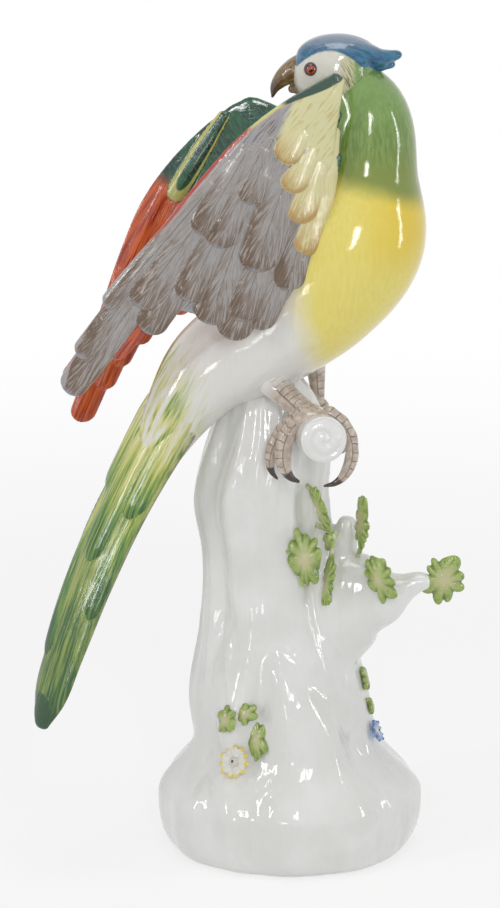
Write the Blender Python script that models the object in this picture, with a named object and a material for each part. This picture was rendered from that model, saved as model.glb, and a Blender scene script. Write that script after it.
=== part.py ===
# Porcelain parrot with raised wings on a tree stump, with applied leaves and two small flowers.
# It is fired as one piece: each form below is united with the stump into one solid, and the
# stump is hollow and open underneath. All sizes are in millimetres; MM turns them to metres.
# X runs to the bird's front, Y away from the side it shows, Z up. The stump's axis is X = Y = 0.

import math

import bmesh
import bpy
from mathutils import Vector

MM = 0.001

# Stump: a rounded mound and a fluted trunk, hollow inside
FOOT_RADIUS = 43.0
MOUND_RADIUS = 51.0
MOUND_HEIGHT = 46.0
TRUNK_HEIGHT = 192.0
TRUNK_DEPTH_RATIO = 0.92
FLUTE_DEPTH = 0.045
WALL = 7.0
FOOT_RIM = 14.0
HOLLOW_HEIGHT = 148.0
# share of the way from mound to trunk top, sideways shift of the axis, half width
TRUNK_STATIONS = [(0.0, -1.0, 33.5), (0.09, -3.5, 34.0), (0.31, -7.0, 29.0), (0.5, -9.5, 26.5),
                  (0.65, -11.0, 27.0), (0.83, -7.4, 22.6), (0.94, -6.0, 18.0), (1.0, -4.0, 11.0)]

# Perch: the cut end of a stout branch that both feet hold
PERCH_HEIGHT = 171.0
PERCH_END_RADIUS = 8.7
PERCH_GRIP_RADIUS = 11.4
PERCH_ROOT_RADIUS = 15.0
PERCH_FRONT = 47.0
PERCH_BACK = 24.0

# Side branch with a knot
BRANCH_HEIGHT = 102.5
BRANCH_REACH = 52.0
BRANCH_ROOT_HALF = 26.0
KNOT_RADIUS = 3.6

# Bird, measured from the perch's axis above the stump
NECK_RADIUS = 16.2
THROAT_RADIUS = 20.8
BREAST_RADIUS = 27.0
BELLY_RADIUS = 27.4
RUMP_RADIUS = 17.5
BODY_DEPTH_RATIO = 0.96
HEAD_RADII = (15.4, 13.0, 13.6)
EYE_RADIUS = 2.6
BEAK_LENGTH = 17.0
LEG_RADIUS = 4.8
TOE_RADIUS = 2.5
TOE_CLEARANCE = 1.4

# Tail: a stack of long stepped feathers
TAIL_LENGTH = 148.0
TAIL_WIDTH = 22.5
TAIL_THICKNESS = 10.0
TAIL_FEATHER_WIDTH = 10.5

# Wings: length from shoulder to tip, thickness of the blade and of one feather
NEAR_WING_LENGTH = 144.0
FAR_WING_LENGTH = 135.0
WING_THICKNESS = 3.6
FEATHER_THICKNESS = 3.4

# Applied sprigs
LEAF_THICKNESS = 2.2
STEM_RADIUS = 1.1
FLOWER_RADIUS = 5.6


def glaze(name, colour, roughness=0.12):
    # Painted and glazed porcelain of one colour.
    material = bpy.data.materials.new(name)
    material.use_nodes = True
    shader = material.node_tree.nodes["Principled BSDF"]
    shader.inputs["Base Color"].default_value = (*colour, 1.0)
    shader.inputs["Roughness"].default_value = roughness
    shader.inputs["Metallic"].default_value = 0.0
    material.diffuse_color = (*colour, 1.0)
    return material


def mix(a, b, share):
    return a + (b - a) * share


def spline(controls, samples):
    # Catmull-Rom curve through rows of numbers, the first and last row included.
    padded = [controls[0]] + list(controls) + [controls[-1]]
    rows = []
    for index in range(samples):
        place = index * (len(controls) - 1) / (samples - 1)
        span = min(int(place), len(controls) - 2)
        t = place - span
        rows.append(tuple(
            0.5 * (2 * b + (c - a) * t + (2 * a - 5 * b + 4 * c - d) * t * t
                   + (3 * b - a - 3 * c + d) * t ** 3)
            for a, b, c, d in zip(*padded[span:span + 4])))
    return rows


def bird(x, y, z):
    # A point of the bird, with z measured from the perch's axis.
    return Vector((x, y, PERCH_HEIGHT + z))


def add_form(name, shape, material, collection):
    # Turns the built shape into an object. Forms and cutters are joined to the stump later.
    bmesh.ops.triangulate(shape, faces=shape.faces)
    bmesh.ops.recalc_face_normals(shape, faces=shape.faces)
    mesh = bpy.data.meshes.new(name)
    shape.to_mesh(mesh)
    shape.free()
    mesh.materials.append(material)
    form = bpy.data.objects.new(name, mesh)
    collection.objects.link(form)
    return form


def add_loft(name, rings, material, collection):
    # Skins rings of points that have the same count, and closes both ends.
    shape = bmesh.new()
    rows = [[shape.verts.new(point * MM) for point in ring] for ring in rings]
    for lower, upper in zip(rows, rows[1:]):
        for i in range(len(lower)):
            j = (i + 1) % len(lower)
            shape.faces.new((lower[i], lower[j], upper[j], upper[i]))
    shape.faces.new(rows[0])
    shape.faces.new(rows[-1])
    return add_form(name, shape, material, collection)


def oval_ring(centre, across, out, count):
    return [centre + across * math.cos(2 * math.pi * i / count)
            + out * math.sin(2 * math.pi * i / count) for i in range(count)]


def add_limb(name, stations, samples, segments, material, collection):
    # A rounded limb along a bent line. Each station is x, y, z, half height and half depth.
    rows = spline(stations, samples)
    rings = []
    for index, row in enumerate(rows):
        before = Vector(rows[max(index - 1, 0)][:3])
        after = Vector(rows[min(index + 1, samples - 1)][:3])
        tangent = (after - before).normalized()
        side = Vector((0, 1, 0))
        side = (side - tangent * side.dot(tangent)).normalized()
        rise = tangent.cross(side)
        rings.append(oval_ring(Vector(row[:3]), rise * row[3], side * row[4], segments))
    return add_loft(name, rings, material, collection)


def add_tube(name, stations, samples, material, collection, sides=8):
    # A round tube whose radius changes along its line: a bevelled curve made into a mesh.
    curve = bpy.data.curves.new(name, "CURVE")
    curve.dimensions = "3D"
    curve.bevel_depth = MM
    curve.bevel_resolution = sides // 2 - 2
    curve.use_fill_caps = True
    line = curve.splines.new("POLY")
    rows = spline(stations, samples)
    line.points.add(len(rows) - 1)
    for point, row in zip(line.points, rows):
        point.co = (*(Vector(row[:3]) * MM), 1.0)
        point.radius = row[3]
    guide = bpy.data.objects.new(name, curve)
    collection.objects.link(guide)
    depsgraph = bpy.context.evaluated_depsgraph_get()
    mesh = bpy.data.meshes.new_from_object(guide.evaluated_get(depsgraph))
    bpy.data.objects.remove(guide)
    shape = bmesh.new()
    shape.from_mesh(mesh)
    bpy.data.meshes.remove(mesh)
    bmesh.ops.remove_doubles(shape, verts=shape.verts, dist=0.00002)
    return add_form(name, shape, material, collection)


def add_pad(name, root, tip, face, width, thickness, material, collection,
            root_share=0.55, segments=8, rings=5):
    # A feather: a sphere drawn out from root to tip, flat towards face, narrow at its root.
    shape = bmesh.new()
    bmesh.ops.create_uvsphere(shape, u_segments=segments, v_segments=rings, radius=1.0)
    along = (tip - root) / 2
    across = along.cross(face).normalized() * width / 2
    out = across.cross(along).normalized() * thickness / 2
    centre = (root + tip) / 2
    for vert in shape.verts:
        x, y, z = vert.co
        blunt = math.copysign(abs(z) ** 0.8, z)
        fullness = mix(root_share, 1.0, (1 + z) / 2)
        vert.co = (centre + along * blunt + across * x * fullness + out * y) * MM
    return add_form(name, shape, material, collection)


def add_leaf(name, stem, tip, face, width, material, collection, lobes=7, curl=0.16):
    # A lobed leaf: a flat sphere whose rim swells into lobes, bent back towards its tip.
    shape = bmesh.new()
    bmesh.ops.create_uvsphere(shape, u_segments=16, v_segments=3, radius=1.0)
    along = (tip - stem) / 2
    across = along.cross(face).normalized() * width / 2
    out = across.cross(along).normalized()
    centre = (stem + tip) / 2
    for vert in shape.verts:
        x, y, z = vert.co
        angle = math.atan2(y, x)
        rim = 1 + 0.13 * math.cos(lobes * angle)
        bend = -curl * along.length * (x * x + 0.5 * y * y)
        vert.co = (centre + along * x * rim + across * y * rim
                   + out * (z * LEAF_THICKNESS / 2 + bend)) * MM
    return add_form(name, shape, material, collection)


def stump_half_width(height):
    # Sideways shift of the axis and half width: mound below, trunk above.
    if height < MOUND_HEIGHT:
        waist = TRUNK_STATIONS[0][2]
        lip = MOUND_HEIGHT * 0.38
        shoulder = MOUND_HEIGHT * 0.48
        if height < lip:
            rise = 1 - height / lip
            return 0.0, mix(FOOT_RADIUS, MOUND_RADIUS, math.sqrt(1 - rise * rise))
        fall = max(0.0, (height - shoulder) / (MOUND_HEIGHT - shoulder))
        fall = fall * fall * (3 - 2 * fall)
        return TRUNK_STATIONS[0][1] * fall, mix(MOUND_RADIUS, waist, fall)
    share = (height - MOUND_HEIGHT) / (TRUNK_HEIGHT - MOUND_HEIGHT)
    for lower, upper in zip(TRUNK_STATIONS, TRUNK_STATIONS[1:]):
        if share <= upper[0]:
            part = (share - lower[0]) / (upper[0] - lower[0])
            part = part * part * (3 - 2 * part)
            return mix(lower[1], upper[1], part), mix(lower[2], upper[2], part)
    return TRUNK_STATIONS[-1][1:]


def stump_point(height, angle, inset=0.0):
    # A point on the fluted skin, or inside it by the inset. The flutes drift round with height.
    shift, half = stump_half_width(min(max(height, 0.0), TRUNK_HEIGHT))
    drift = height / 60
    flute = (0.5 * math.sin(5 * angle + drift) + 0.35 * math.sin(8 * angle - 0.8 * drift + 2)
             + 0.25 * math.sin(12 * angle + 0.5 * drift + 1))
    strength = FLUTE_DEPTH * min(1.0, 0.35 + height / MOUND_HEIGHT * 0.65)
    radius = half * (1 + strength * flute) - inset
    return Vector((shift + radius * math.cos(angle), radius * TRUNK_DEPTH_RATIO * math.sin(angle), height))


def stump_ring(height, count, inset=0.0):
    return [stump_point(height, 2 * math.pi * i / count, inset) for i in range(count)]


def build_stump(collection, material):
    mound = [0, 3, 8, 14, 20, 26, 31, 36, 41]
    heights = [MOUND_HEIGHT * step / 46 for step in mound]
    trunk_rows = 11
    heights += [mix(MOUND_HEIGHT, TRUNK_HEIGHT, i / (trunk_rows - 1)) for i in range(trunk_rows)]
    return add_loft("parrot_figurine", [stump_ring(height, 36) for height in heights],
                    material, collection)


def build_hollow(collection, material):
    # The space inside the stump: a foot rim at the ground, then an even wall, then a round top.
    rings = [stump_ring(-4.0, 20, FOOT_RIM), stump_ring(2.0, 20, FOOT_RIM)]
    rows = 9
    for i in range(1, rows + 1):
        height = mix(2.0, HOLLOW_HEIGHT, i / rows)
        closing = max(0.0, (i - rows + 2) / 2) * WALL
        thick = max(WALL, mix(FOOT_RIM, WALL, height / (MOUND_HEIGHT * 0.5)))
        rings.append(stump_ring(height, 20, thick + closing))
    return add_loft("stump_hollow", rings, material, collection)


def perch_centre(y):
    # The perch's axis rises a little and moves to the front towards its cut end.
    towards_end = max(0.0, -y) / PERCH_FRONT
    return Vector((5 + 7 * towards_end, y, PERCH_HEIGHT - 2 + 5 * towards_end))


def build_perch(collection, material):
    stations = [(PERCH_BACK, 8.0), (PERCH_BACK * 0.4, 11.5), (-6.0, PERCH_ROOT_RADIUS),
                (-20.0, 13.0), (-31.0, PERCH_GRIP_RADIUS), (-PERCH_FRONT * 0.87, 9.6),
                (-PERCH_FRONT, PERCH_END_RADIUS)]
    add_tube("perch", [(*perch_centre(y), radius) for y, radius in stations], 8,
             material, collection, sides=12)


def build_branch(collection, material):
    # A broad wedge from the trunk that tapers to a rounded twig, with a knot on its shoulder.
    shape = [(0.20, 28.0, 17.0), (0.42, 23.0, 15.0), (0.58, 17.5, 12.0), (0.70, 13.0, 10.0),
             (0.80, 9.0, 8.0), (0.93, 4.9, 5.0), (1.0, 3.0, 3.2)]
    stations = []
    for share, half, depth in shape:
        x = BRANCH_REACH * share
        lift = 9.0 * (share - 0.58) / 0.42
        stations.append((x, -10.0 * share, BRANCH_HEIGHT + lift, half * BRANCH_ROOT_HALF / 26, depth))
    add_limb("branch", stations, 9, 12, material, collection)
    knot = [(19.0, -4, 16.0, KNOT_RADIUS * 1.5), (21.0, -4, 24.0, KNOT_RADIUS * 1.1),
            (22.3, -4, 29.5, KNOT_RADIUS * 0.7)]
    add_tube("knot", [(x, y, BRANCH_HEIGHT + z, radius) for x, y, z, radius in knot], 5,
             material, collection, sides=8)


def build_body(collection, material):
    shape = [(18, 5, 132, NECK_RADIUS * 0.5), (26.6, 5, 117, NECK_RADIUS),
             (27.2, 4, 92, THROAT_RADIUS), (24, 0, 70, BREAST_RADIUS),
             (9.2, -2, 51.5, BELLY_RADIUS), (-10.7, -6, 33, BELLY_RADIUS * 0.8),
             (-30.5, -10, 20.5, RUMP_RADIUS), (-44, -14, 4, RUMP_RADIUS * 0.76),
             (-53, -16, -9, RUMP_RADIUS * 0.3)]
    stations = [(*bird(x, y, z), radius, radius * BODY_DEPTH_RATIO) for x, y, z, radius in shape]
    add_limb("body", stations, 17, 20, material, collection)


def build_head(collection, paints):
    # The head is turned back over the wings, so the beak points away from the breast.
    centre = bird(15.8, 5, 131)
    shape = bmesh.new()
    bmesh.ops.create_uvsphere(shape, u_segments=16, v_segments=10, radius=1.0)
    for vert in shape.verts:
        vert.co = (centre + Vector(a * b for a, b in zip(HEAD_RADII, vert.co))) * MM
    add_form("head", shape, paints["white"], collection)

    brow = centre + Vector((-8.0, 0, 5.5))
    crests = [((24.2, -1, 7.0), -3, 10), ((22.6, -2, 3.6), 3, 11), ((18.4, -4, 2.6), -7, 8)]
    for index, (tip, side, width) in enumerate(crests):
        root = brow + Vector((0, side, 1.5))
        peak = Vector((2, side, 12))
        add_pad(f"crest_{index}", root, centre + Vector(tip), peak, width + 4, 7.0,
                paints["blue"], collection, root_share=0.8)
    crown = bmesh.new()
    bmesh.ops.create_uvsphere(crown, u_segments=14, v_segments=7, radius=1.0)
    for vert in crown.verts:
        x, y, z = vert.co
        vert.co = (centre + Vector((1.5 + 15.4 * x, 11.5 * y, 5.6 + 8.6 * z))) * MM
    add_form("crown", crown, paints["blue"], collection)

    upper = [(0.15, 0, 2.5, 5.6), (-0.08, 0, 0.5, 5.2), (-0.34, 0, -2.8, 3.9),
             (-0.5, 0, -6.4, 2.2), (-0.55, 0, -9.4, 0.7)]
    base = centre + Vector((-15.8 + 0.15 * BEAK_LENGTH, 1, 0))
    add_tube("beak", [(base.x + x * BEAK_LENGTH, base.y + y, base.z + z, radius)
                      for x, y, z, radius in upper], 7, paints["ochre"], collection, sides=10)
    lower = [(0.2, 0, -5.2, 4.2), (0.0, 0, -6.0, 3.2), (-0.14, 0, -6.8, 1.5)]
    add_tube("lower_beak", [(base.x + x * BEAK_LENGTH, base.y + y, base.z + z, radius)
                            for x, y, z, radius in lower], 5, paints["ochre"], collection, sides=8)
    for side in (-1, 1):
        eye = bmesh.new()
        bmesh.ops.create_uvsphere(eye, u_segments=8, v_segments=5, radius=EYE_RADIUS * MM)
        seat = Vector((-8.6, side * HEAD_RADII[1] * 0.78, 2.6))
        bmesh.ops.translate(eye, verts=eye.verts, vec=(centre + seat) * MM)
        add_form(f"eye_{side}", eye, paints["red"], collection)


def build_leg(name, y, stations, toes, collection, material):
    # A leg and the toes that grip the perch. Each toe turns round the perch's axis by its angles
    # and moves away from it by its spread towards the claw.
    add_tube(f"{name}_leg", [(*bird(*point), LEG_RADIUS * fullness) for *point, fullness in stations],
             5, material, collection, sides=8)
    for index, (offset, start, end, bulge, spread) in enumerate(toes):
        centre = perch_centre(y + offset)
        grip = PERCH_GRIP_RADIUS + TOE_CLEARANCE
        rows = []
        for step in range(7):
            share = step / 6
            angle = math.radians(mix(start, end, share))
            reach = grip + bulge * math.sin(math.pi * share) + spread * share * share
            taper = 1.15 - 0.25 * share if step < 5 else 0.95 - 0.6 * (step - 4) / 2
            rows.append((centre.x + reach * math.cos(angle), centre.y - offset * 0.5 * (1 - share),
                         centre.z + reach * math.sin(angle), TOE_RADIUS * taper))
        add_tube(f"{name}_toe_{index}", rows, 8, material, collection, sides=6)


def build_legs(collection, material):
    near_leg = [(-14, -12, 24, 1.3), (-7, -18, 16.5, 1.08), (-0.5, -25, 12, 0.98), (6, -31, 8.5, 1.1)]
    near_toes = [(-2.5, 115, 238, 2.5, 5.6), (4.0, 118, 220, 3.0, 7.6), (-2.0, 75, -80, 0.5, 7.2),
                 (4.0, 70, -50, 1.4, 1.0)]
    build_leg("near", -32.0, near_leg, near_toes, collection, material)
    far_leg = [(6, 9, 28, 1.3), (8, 9.5, 20, 1.0), (8.5, 9.5, 13, 0.95)]
    far_toes = [(-3.0, 75, -35, 1.2, 0.0), (4.0, 72, -45, 1.2, 0.0), (-2.5, 110, 205, 1.2, 0.0),
                (4.0, 112, 215, 1.2, 0.0)]
    build_leg("far", 10.0, far_leg, far_toes, collection, material)


def tail_frame(along):
    # Point, direction, width axis and outward axis at a distance down the tail from the rump.
    share = along / TAIL_LENGTH
    rump = bird(-33.5, -10, 20)
    heading = Vector((-0.41, -0.18, -0.89)).normalized()
    sag = Vector((-0.034, 0.0, 0.02)) * TAIL_LENGTH * math.sin(math.pi * min(max(share, 0), 1))
    centre = rump + heading * along + sag
    bend = Vector((-0.034, 0.0, 0.02)) * math.pi * math.cos(math.pi * share)
    direction = (heading + bend).normalized()
    face = Vector((-0.62, -0.74, 0.25))
    face = (face - direction * face.dot(direction)).normalized()
    return centre, direction, direction.cross(face), face


def build_tail(collection, paints):
    rings = []
    widths = [(0.0, 1.3, 2.4), (0.15, 1.12, 1.7), (0.35, 1.0, 1.2), (0.6, 0.92, 0.95),
              (0.8, 0.8, 0.8), (0.93, 0.62, 0.6), (0.985, 0.32, 0.35)]
    for share, wide, thick in spline(widths, 12):
        centre, _, across, out = tail_frame(share * TAIL_LENGTH)
        rings.append(oval_ring(centre, across * wide * TAIL_WIDTH / 2, out * thick * TAIL_THICKNESS / 2, 12))
    add_loft("tail", rings, paints["green"], collection)
    # share of the tail's length where a feather starts and ends, place across, lift
    feathers = [(0.45, 1.0, 0.02, 0.5), (0.20, 0.84, 0.26, 0.55), (0.10, 0.71, -0.27, 0.55),
                (0.02, 0.56, 0.05, 0.95), (-0.08, 0.42, -0.30, 0.85), (-0.1, 0.38, 0.32, 0.85),
                (0.12, 0.62, 0.36, -0.4), (0.3, 0.9, 0.12, -0.5)]
    for index, (start, end, place, lift) in enumerate(feathers):
        root, _, across, out = tail_frame(start * TAIL_LENGTH)
        tip, _, tip_across, tip_out = tail_frame(end * TAIL_LENGTH)
        root = root + across * place * TAIL_WIDTH + out * lift * TAIL_THICKNESS * 0.5
        tip = tip + tip_across * place * TAIL_WIDTH * 0.8 + tip_out * lift * TAIL_THICKNESS * 0.5
        add_pad(f"tail_feather_{index}", root, tip, out, TAIL_FEATHER_WIDTH, FEATHER_THICKNESS,
                paints["green"], collection, root_share=0.8)


class Wing:
    # A wing lies on a bowed sheet. Its points are given as millimetres along the line from
    # shoulder to tip, millimetres across it (up is positive) and millimetres out of the sheet.
    def __init__(self, name, shoulder, slope, length, side, stations, bow):
        self.name = name
        self.shoulder = shoulder
        self.length = length
        self.side = side
        self.stations = stations
        self.bow = bow
        self.axis = Vector((-math.cos(slope), 0, -math.sin(slope)))
        self.rise = Vector((-math.sin(slope), 0, math.cos(slope)))

    def point(self, share, across, out=0.0):
        flat = self.shoulder + self.axis * share * self.length + self.rise * across
        return flat + Vector((0, self.side * (self.bow(share, across) + out), 0))

    def face(self, share, across):
        step = 0.02
        run = self.point(share + step, across) - self.point(share - step, across)
        climb = self.point(share, across + 1) - self.point(share, across - 1)
        return run.cross(climb).normalized()

    def build(self, collection, material, rows, segments):
        rings = []
        for share, lead, trail in spline(self.stations, rows):
            middle = (lead + trail) / 2
            half = (lead - trail) / 2
            out = self.face(share, middle)
            ring = []
            for i in range(segments):
                angle = 2 * math.pi * i / segments
                on_sheet = self.point(share, middle + half * math.cos(angle))
                ring.append(on_sheet + out * math.sin(angle) * WING_THICKNESS / 2)
            rings.append(ring)
        add_loft(self.name, rings, material, collection)

    def build_row(self, name, count, first, last, width, lift, material, collection):
        # A row of feathers between the first and the last. Each is root share, root across,
        # tip share and tip across; the tips stand further out than the roots.
        for index in range(count):
            part = index / max(count - 1, 1)
            root_share, root_across, tip_share, tip_across = (
                mix(a, b, part) for a, b in zip(first, last))
            root = self.point(root_share, root_across, lift - math.copysign(FEATHER_THICKNESS * 0.5, lift))
            tip = self.point(tip_share, tip_across, lift)
            face = self.face(tip_share, tip_across)
            add_pad(f"{self.name}_{name}_{index}", root, tip, face, width, FEATHER_THICKNESS,
                    material, collection, segments=6)


def build_near_wing(collection, paints):
    # The wing on the side shown: its underside faces out.
    stations = [(-0.045, 6, 0), (0.07, 13, -11), (0.21, 17.6, -26), (0.35, 18, -34), (0.49, 16.8, -37),
                (0.58, 16, -28), (0.65, 15, -8), (0.80, 12, -1.5), (0.93, 6.5, -2), (0.995, 1.6, -1.2)]
    shoulder = bird(15, 0, 125)
    wing = Wing("near_wing", shoulder, math.radians(47.2), NEAR_WING_LENGTH, -1, stations,
                lambda share, across: 41.5 - 24 * ((share * 98 + across * 0.73 - 67) / 67) ** 2)
    wing.build(collection, paints["grey"], 14, 12)
    rows = [("primary", 4, (0.54, 6.5, 1.0, -0.4), (0.44, 0, 0.73, -5.5), 13.0, 0.4, "grey"),
            ("outer", 3, (0.45, 12, 0.905, 6.0), (0.22, 13, 0.62, 12.5), 11.0, 1.2, "grey"),
            ("middle", 2, (0.44, 7, 0.70, 2.5), (0.41, 0, 0.61, -8.0), 13.0, 1.6, "grey"),
            ("secondary", 4, (0.40, -6, 0.615, -20.5), (0.41, -27, 0.555, -37.5), 14.5, 0.8, "grey"),
            ("inner", 3, (0.34, -12, 0.55, -27), (0.28, -21, 0.43, -36), 14.0, 1.8, "grey"),
            ("covert", 3, (0.28, 10, 0.46, 4), (0.23, -4, 0.44, -20), 14.0, 1.9, "grey"),
            ("shoulder", 4, (0.17, 9, 0.33, 0), (0.20, -23, 0.31, -33), 11.5, 1.7, "yellow"),
            ("wrist", 3, (0.02, 8, 0.18, 2), (0.10, -12, 0.225, -24), 11.0, 1.7, "yellow")]
    for name, count, first, last, width, lift, paint in rows:
        wing.build_row(name, count, first, last, width, lift, paints[paint], collection)


def build_far_wing(collection, paints):
    # The wing behind: its upper side faces the side shown, so its feathers stand that way.
    stations = [(-0.05, 20, -14), (0.05, 27, -16), (0.20, 31, -18), (0.40, 31.5, -19), (0.53, 28, -15),
                (0.63, 25, -3), (0.76, 20, 0), (0.88, 13.5, -2), (0.96, 8, -1.6), (0.995, 2.2, -0.8)]
    shoulder = bird(2, 0, 101)
    wing = Wing("far_wing", shoulder, math.radians(52.5), FAR_WING_LENGTH, 1, stations,
                lambda share, across: 38 - 17 * ((share * 82 + across * 0.79 - 47) / 47) ** 2
                - 9 * share + across * 0.06)
    wing.build(collection, paints["red"], 14, 12)
    rows = [("primary", 4, (0.47, 20, 1.0, 0.3), (0.43, 4, 0.76, 0.8), 13.0, -0.4, "red"),
            ("outer", 3, (0.34, 26, 0.86, 14.5), (0.30, 27, 0.62, 24.5), 11.0, -1.2, "red"),
            ("covert", 3, (0.20, 23, 0.50, 19), (0.22, 0, 0.48, -8), 15.0, -1.6, "red"),
            ("shoulder", 3, (0.04, 22, 0.33, 24), (0.05, 0, 0.30, -6), 15.0, -1.8, "green")]
    for name, count, first, last, width, lift, paint in rows:
        wing.build_row(name, count, first, last, width, lift, paints[paint], collection)


def build_leaves(collection, paints):
    # Lobed leaves on the trunk and branch: the stem's root inside the porcelain, the leaf's base
    # and tip, the way it faces and its width. Heights are measured from the side branch.
    leaves = [("trunk_front", (-6, -15, 20), (-2, -21, 21), (12, -27, 17.5), (0.1, -1, 0.1), 22),
              ("trunk_curl", (4, -12, 50), (7, -19, 49), (14.5, -21, 30), (-0.9, -0.45, 0.2), 9),
              ("trunk_strip", (6, -12, 24), (13, -19, 27), (12, -28, 3), (-0.9, -0.4, 0.0), 9),
              ("branch_upright", (25, -6, 8), (25.5, -10, 15), (27, -11, 44), (-0.8, -0.6, 0.1), 9),
              ("branch_front", (28, -6, 8), (29, -13, 21), (35, -19, 2.5), (0.2, -1, 0.1), 22),
              ("branch_end", (46, -9, 8), (51, -11, 9), (68, -13, 8), (0.1, -1, 0.2), 22)]
    base = Vector((0, 0, BRANCH_HEIGHT))
    for name, anchor, stem, tip, face, width in leaves:
        anchor, stem, tip = base + Vector(anchor), base + Vector(stem), base + Vector(tip)
        add_leaf(name, stem, tip, Vector(face), width, paints["leaf"], collection)
        inner = stem + (tip - stem) * 0.3
        line = [(*anchor, STEM_RADIUS * 1.5), (*stem, STEM_RADIUS * 1.1), (*inner, STEM_RADIUS)]
        add_tube(f"{name}_stem", line, 4, paints["leaf"], collection, sides=6)
    # Leaves low on the trunk and mound lie on the skin: angle round the axis, height, length.
    for name, turn, height, length, width, lean in (
            ("side_high", -12, 67, 13, 8, 0.2), ("side_low", -14, 57, 8, 7, -0.2),
            ("flower_left", -134, 62, 10, 8, -0.7), ("flower_right", -120, 65, 10, 7, 0.7),
            ("flower_down", -114, 54, 13, 6, 0.35)):
        angle = math.radians(turn)
        skin = stump_point(height, angle, 0.4)
        outward = Vector((math.cos(angle), math.sin(angle), 0.15))
        around = Vector((-math.sin(angle), math.cos(angle), 0)) * lean
        reach = (around + Vector((0, 0, -0.9))).normalized() * length / 2
        add_leaf(name, skin - reach, skin + reach, outward, width, paints["leaf"], collection,
                 lobes=5, curl=0.05)


def build_flower(name, turn, height, radius, petals, collection, paints, paint):
    angle = math.radians(turn)
    outward = Vector((math.cos(angle), math.sin(angle), 0.25)).normalized()
    seat = stump_point(height, angle, -radius * 0.18)
    around = outward.cross(Vector((0, 0, 1))).normalized()
    climb = around.cross(outward)
    flower = bmesh.new()
    bmesh.ops.create_uvsphere(flower, u_segments=petals * 2, v_segments=4, radius=1.0)
    for vert in flower.verts:
        x, y, z = vert.co
        turn_here = math.atan2(y, x)
        rim = radius * (1 + 0.09 * math.cos(petals * turn_here))
        dish = -0.18 * radius * (1 - x * x - y * y) if z > 0 else 0.0
        vert.co = (seat + around * x * rim + climb * y * rim
                   + outward * (z * radius * 0.42 + dish)) * MM
    add_form(name, flower, paints[paint], collection)
    centre = bmesh.new()
    bmesh.ops.create_uvsphere(centre, u_segments=8, v_segments=4, radius=radius * 0.3 * MM)
    bmesh.ops.translate(centre, verts=centre.verts, vec=(seat + outward * radius * 0.2) * MM)
    add_form(f"{name}_centre", centre, paints["yellow"], collection)


def build_sprigs(collection, paints):
    build_leaves(collection, paints)
    build_flower("front_flower", -125, 47, FLOWER_RADIUS, 10, collection, paints, "white")
    build_flower("side_flower", -16, 48, FLOWER_RADIUS * 0.7, 8, collection, paints, "blue")


def join_forms(figurine, forms, cutters):
    # Unites every form with the stump, then hollows the stump from below.
    union = figurine.modifiers.new("forms", "BOOLEAN")
    union.operation = "UNION"
    union.operand_type = "COLLECTION"
    union.collection = forms
    union.solver = "EXACT"
    union.material_mode = "TRANSFER"
    hollow = figurine.modifiers.new("hollow", "BOOLEAN")
    hollow.operation = "DIFFERENCE"
    hollow.operand_type = "COLLECTION"
    hollow.collection = cutters
    hollow.solver = "EXACT"


def set_on_origin(figurine, forms, cutters):
    # Moves everything so that the middle of the finished figurine's footprint is the origin.
    depsgraph = bpy.context.evaluated_depsgraph_get()
    corners = [Vector(corner) for corner in figurine.evaluated_get(depsgraph).bound_box]
    low = Vector(map(min, zip(*corners)))
    high = Vector(map(max, zip(*corners)))
    middle = Vector(((low.x + high.x) / 2, (low.y + high.y) / 2, low.z))
    for item in [figurine, *forms.objects, *cutters.objects]:
        item.location = -middle


def main():
    for item in list(bpy.data.objects):
        bpy.data.objects.remove(item, do_unlink=True)
    collections = []
    for name in ("parrot figurine", "united forms", "cutters"):
        collection = bpy.data.collections.new(name)
        bpy.context.scene.collection.children.link(collection)
        collections.append(collection)
    figure, forms, cutters = collections
    paints = {
        "white": glaze("white_glaze", (0.86, 0.86, 0.84)),
        "green": glaze("green_paint", (0.16, 0.36, 0.08)),
        "leaf": glaze("leaf_green_paint", (0.42, 0.56, 0.18)),
        "yellow": glaze("yellow_paint", (0.80, 0.72, 0.16)),
        "grey": glaze("lavender_grey_paint", (0.42, 0.38, 0.40)),
        "red": glaze("coral_red_paint", (0.68, 0.13, 0.05)),
        "blue": glaze("blue_paint", (0.05, 0.20, 0.38)),
        "ochre": glaze("ochre_paint", (0.36, 0.20, 0.09)),
        "taupe": glaze("taupe_paint", (0.42, 0.30, 0.25)),
    }
    figurine = build_stump(figure, paints["white"])
    build_perch(forms, paints["white"])
    build_branch(forms, paints["white"])
    build_body(forms, paints["white"])
    build_head(forms, paints)
    build_legs(forms, paints["taupe"])
    build_tail(forms, paints)
    build_near_wing(forms, paints)
    build_far_wing(forms, paints)
    build_sprigs(forms, paints)
    build_hollow(cutters, paints["white"])
    for item in [*forms.objects, *cutters.objects]:
        item.hide_render = True
        item.display_type = "WIRE"
    join_forms(figurine, forms, cutters)
    set_on_origin(figurine, forms, cutters)
    figurine.data.shade_smooth()
    figurine.data.set_sharp_from_angle(angle=math.radians(50))


main()
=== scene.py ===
# Glazed porcelain parrot with raised wings on a white tree stump.
# Forms are modelled in millimetres round the stump's axis, fused into smooth porcelain
# bodies, and painted by where each point lies on its feather, leaf or body.
import math
import random
import bpy
import numpy as np
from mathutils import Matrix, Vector
from mathutils.bvhtree import BVHTree
from mathutils.interpolate import poly_3d_calc


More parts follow.
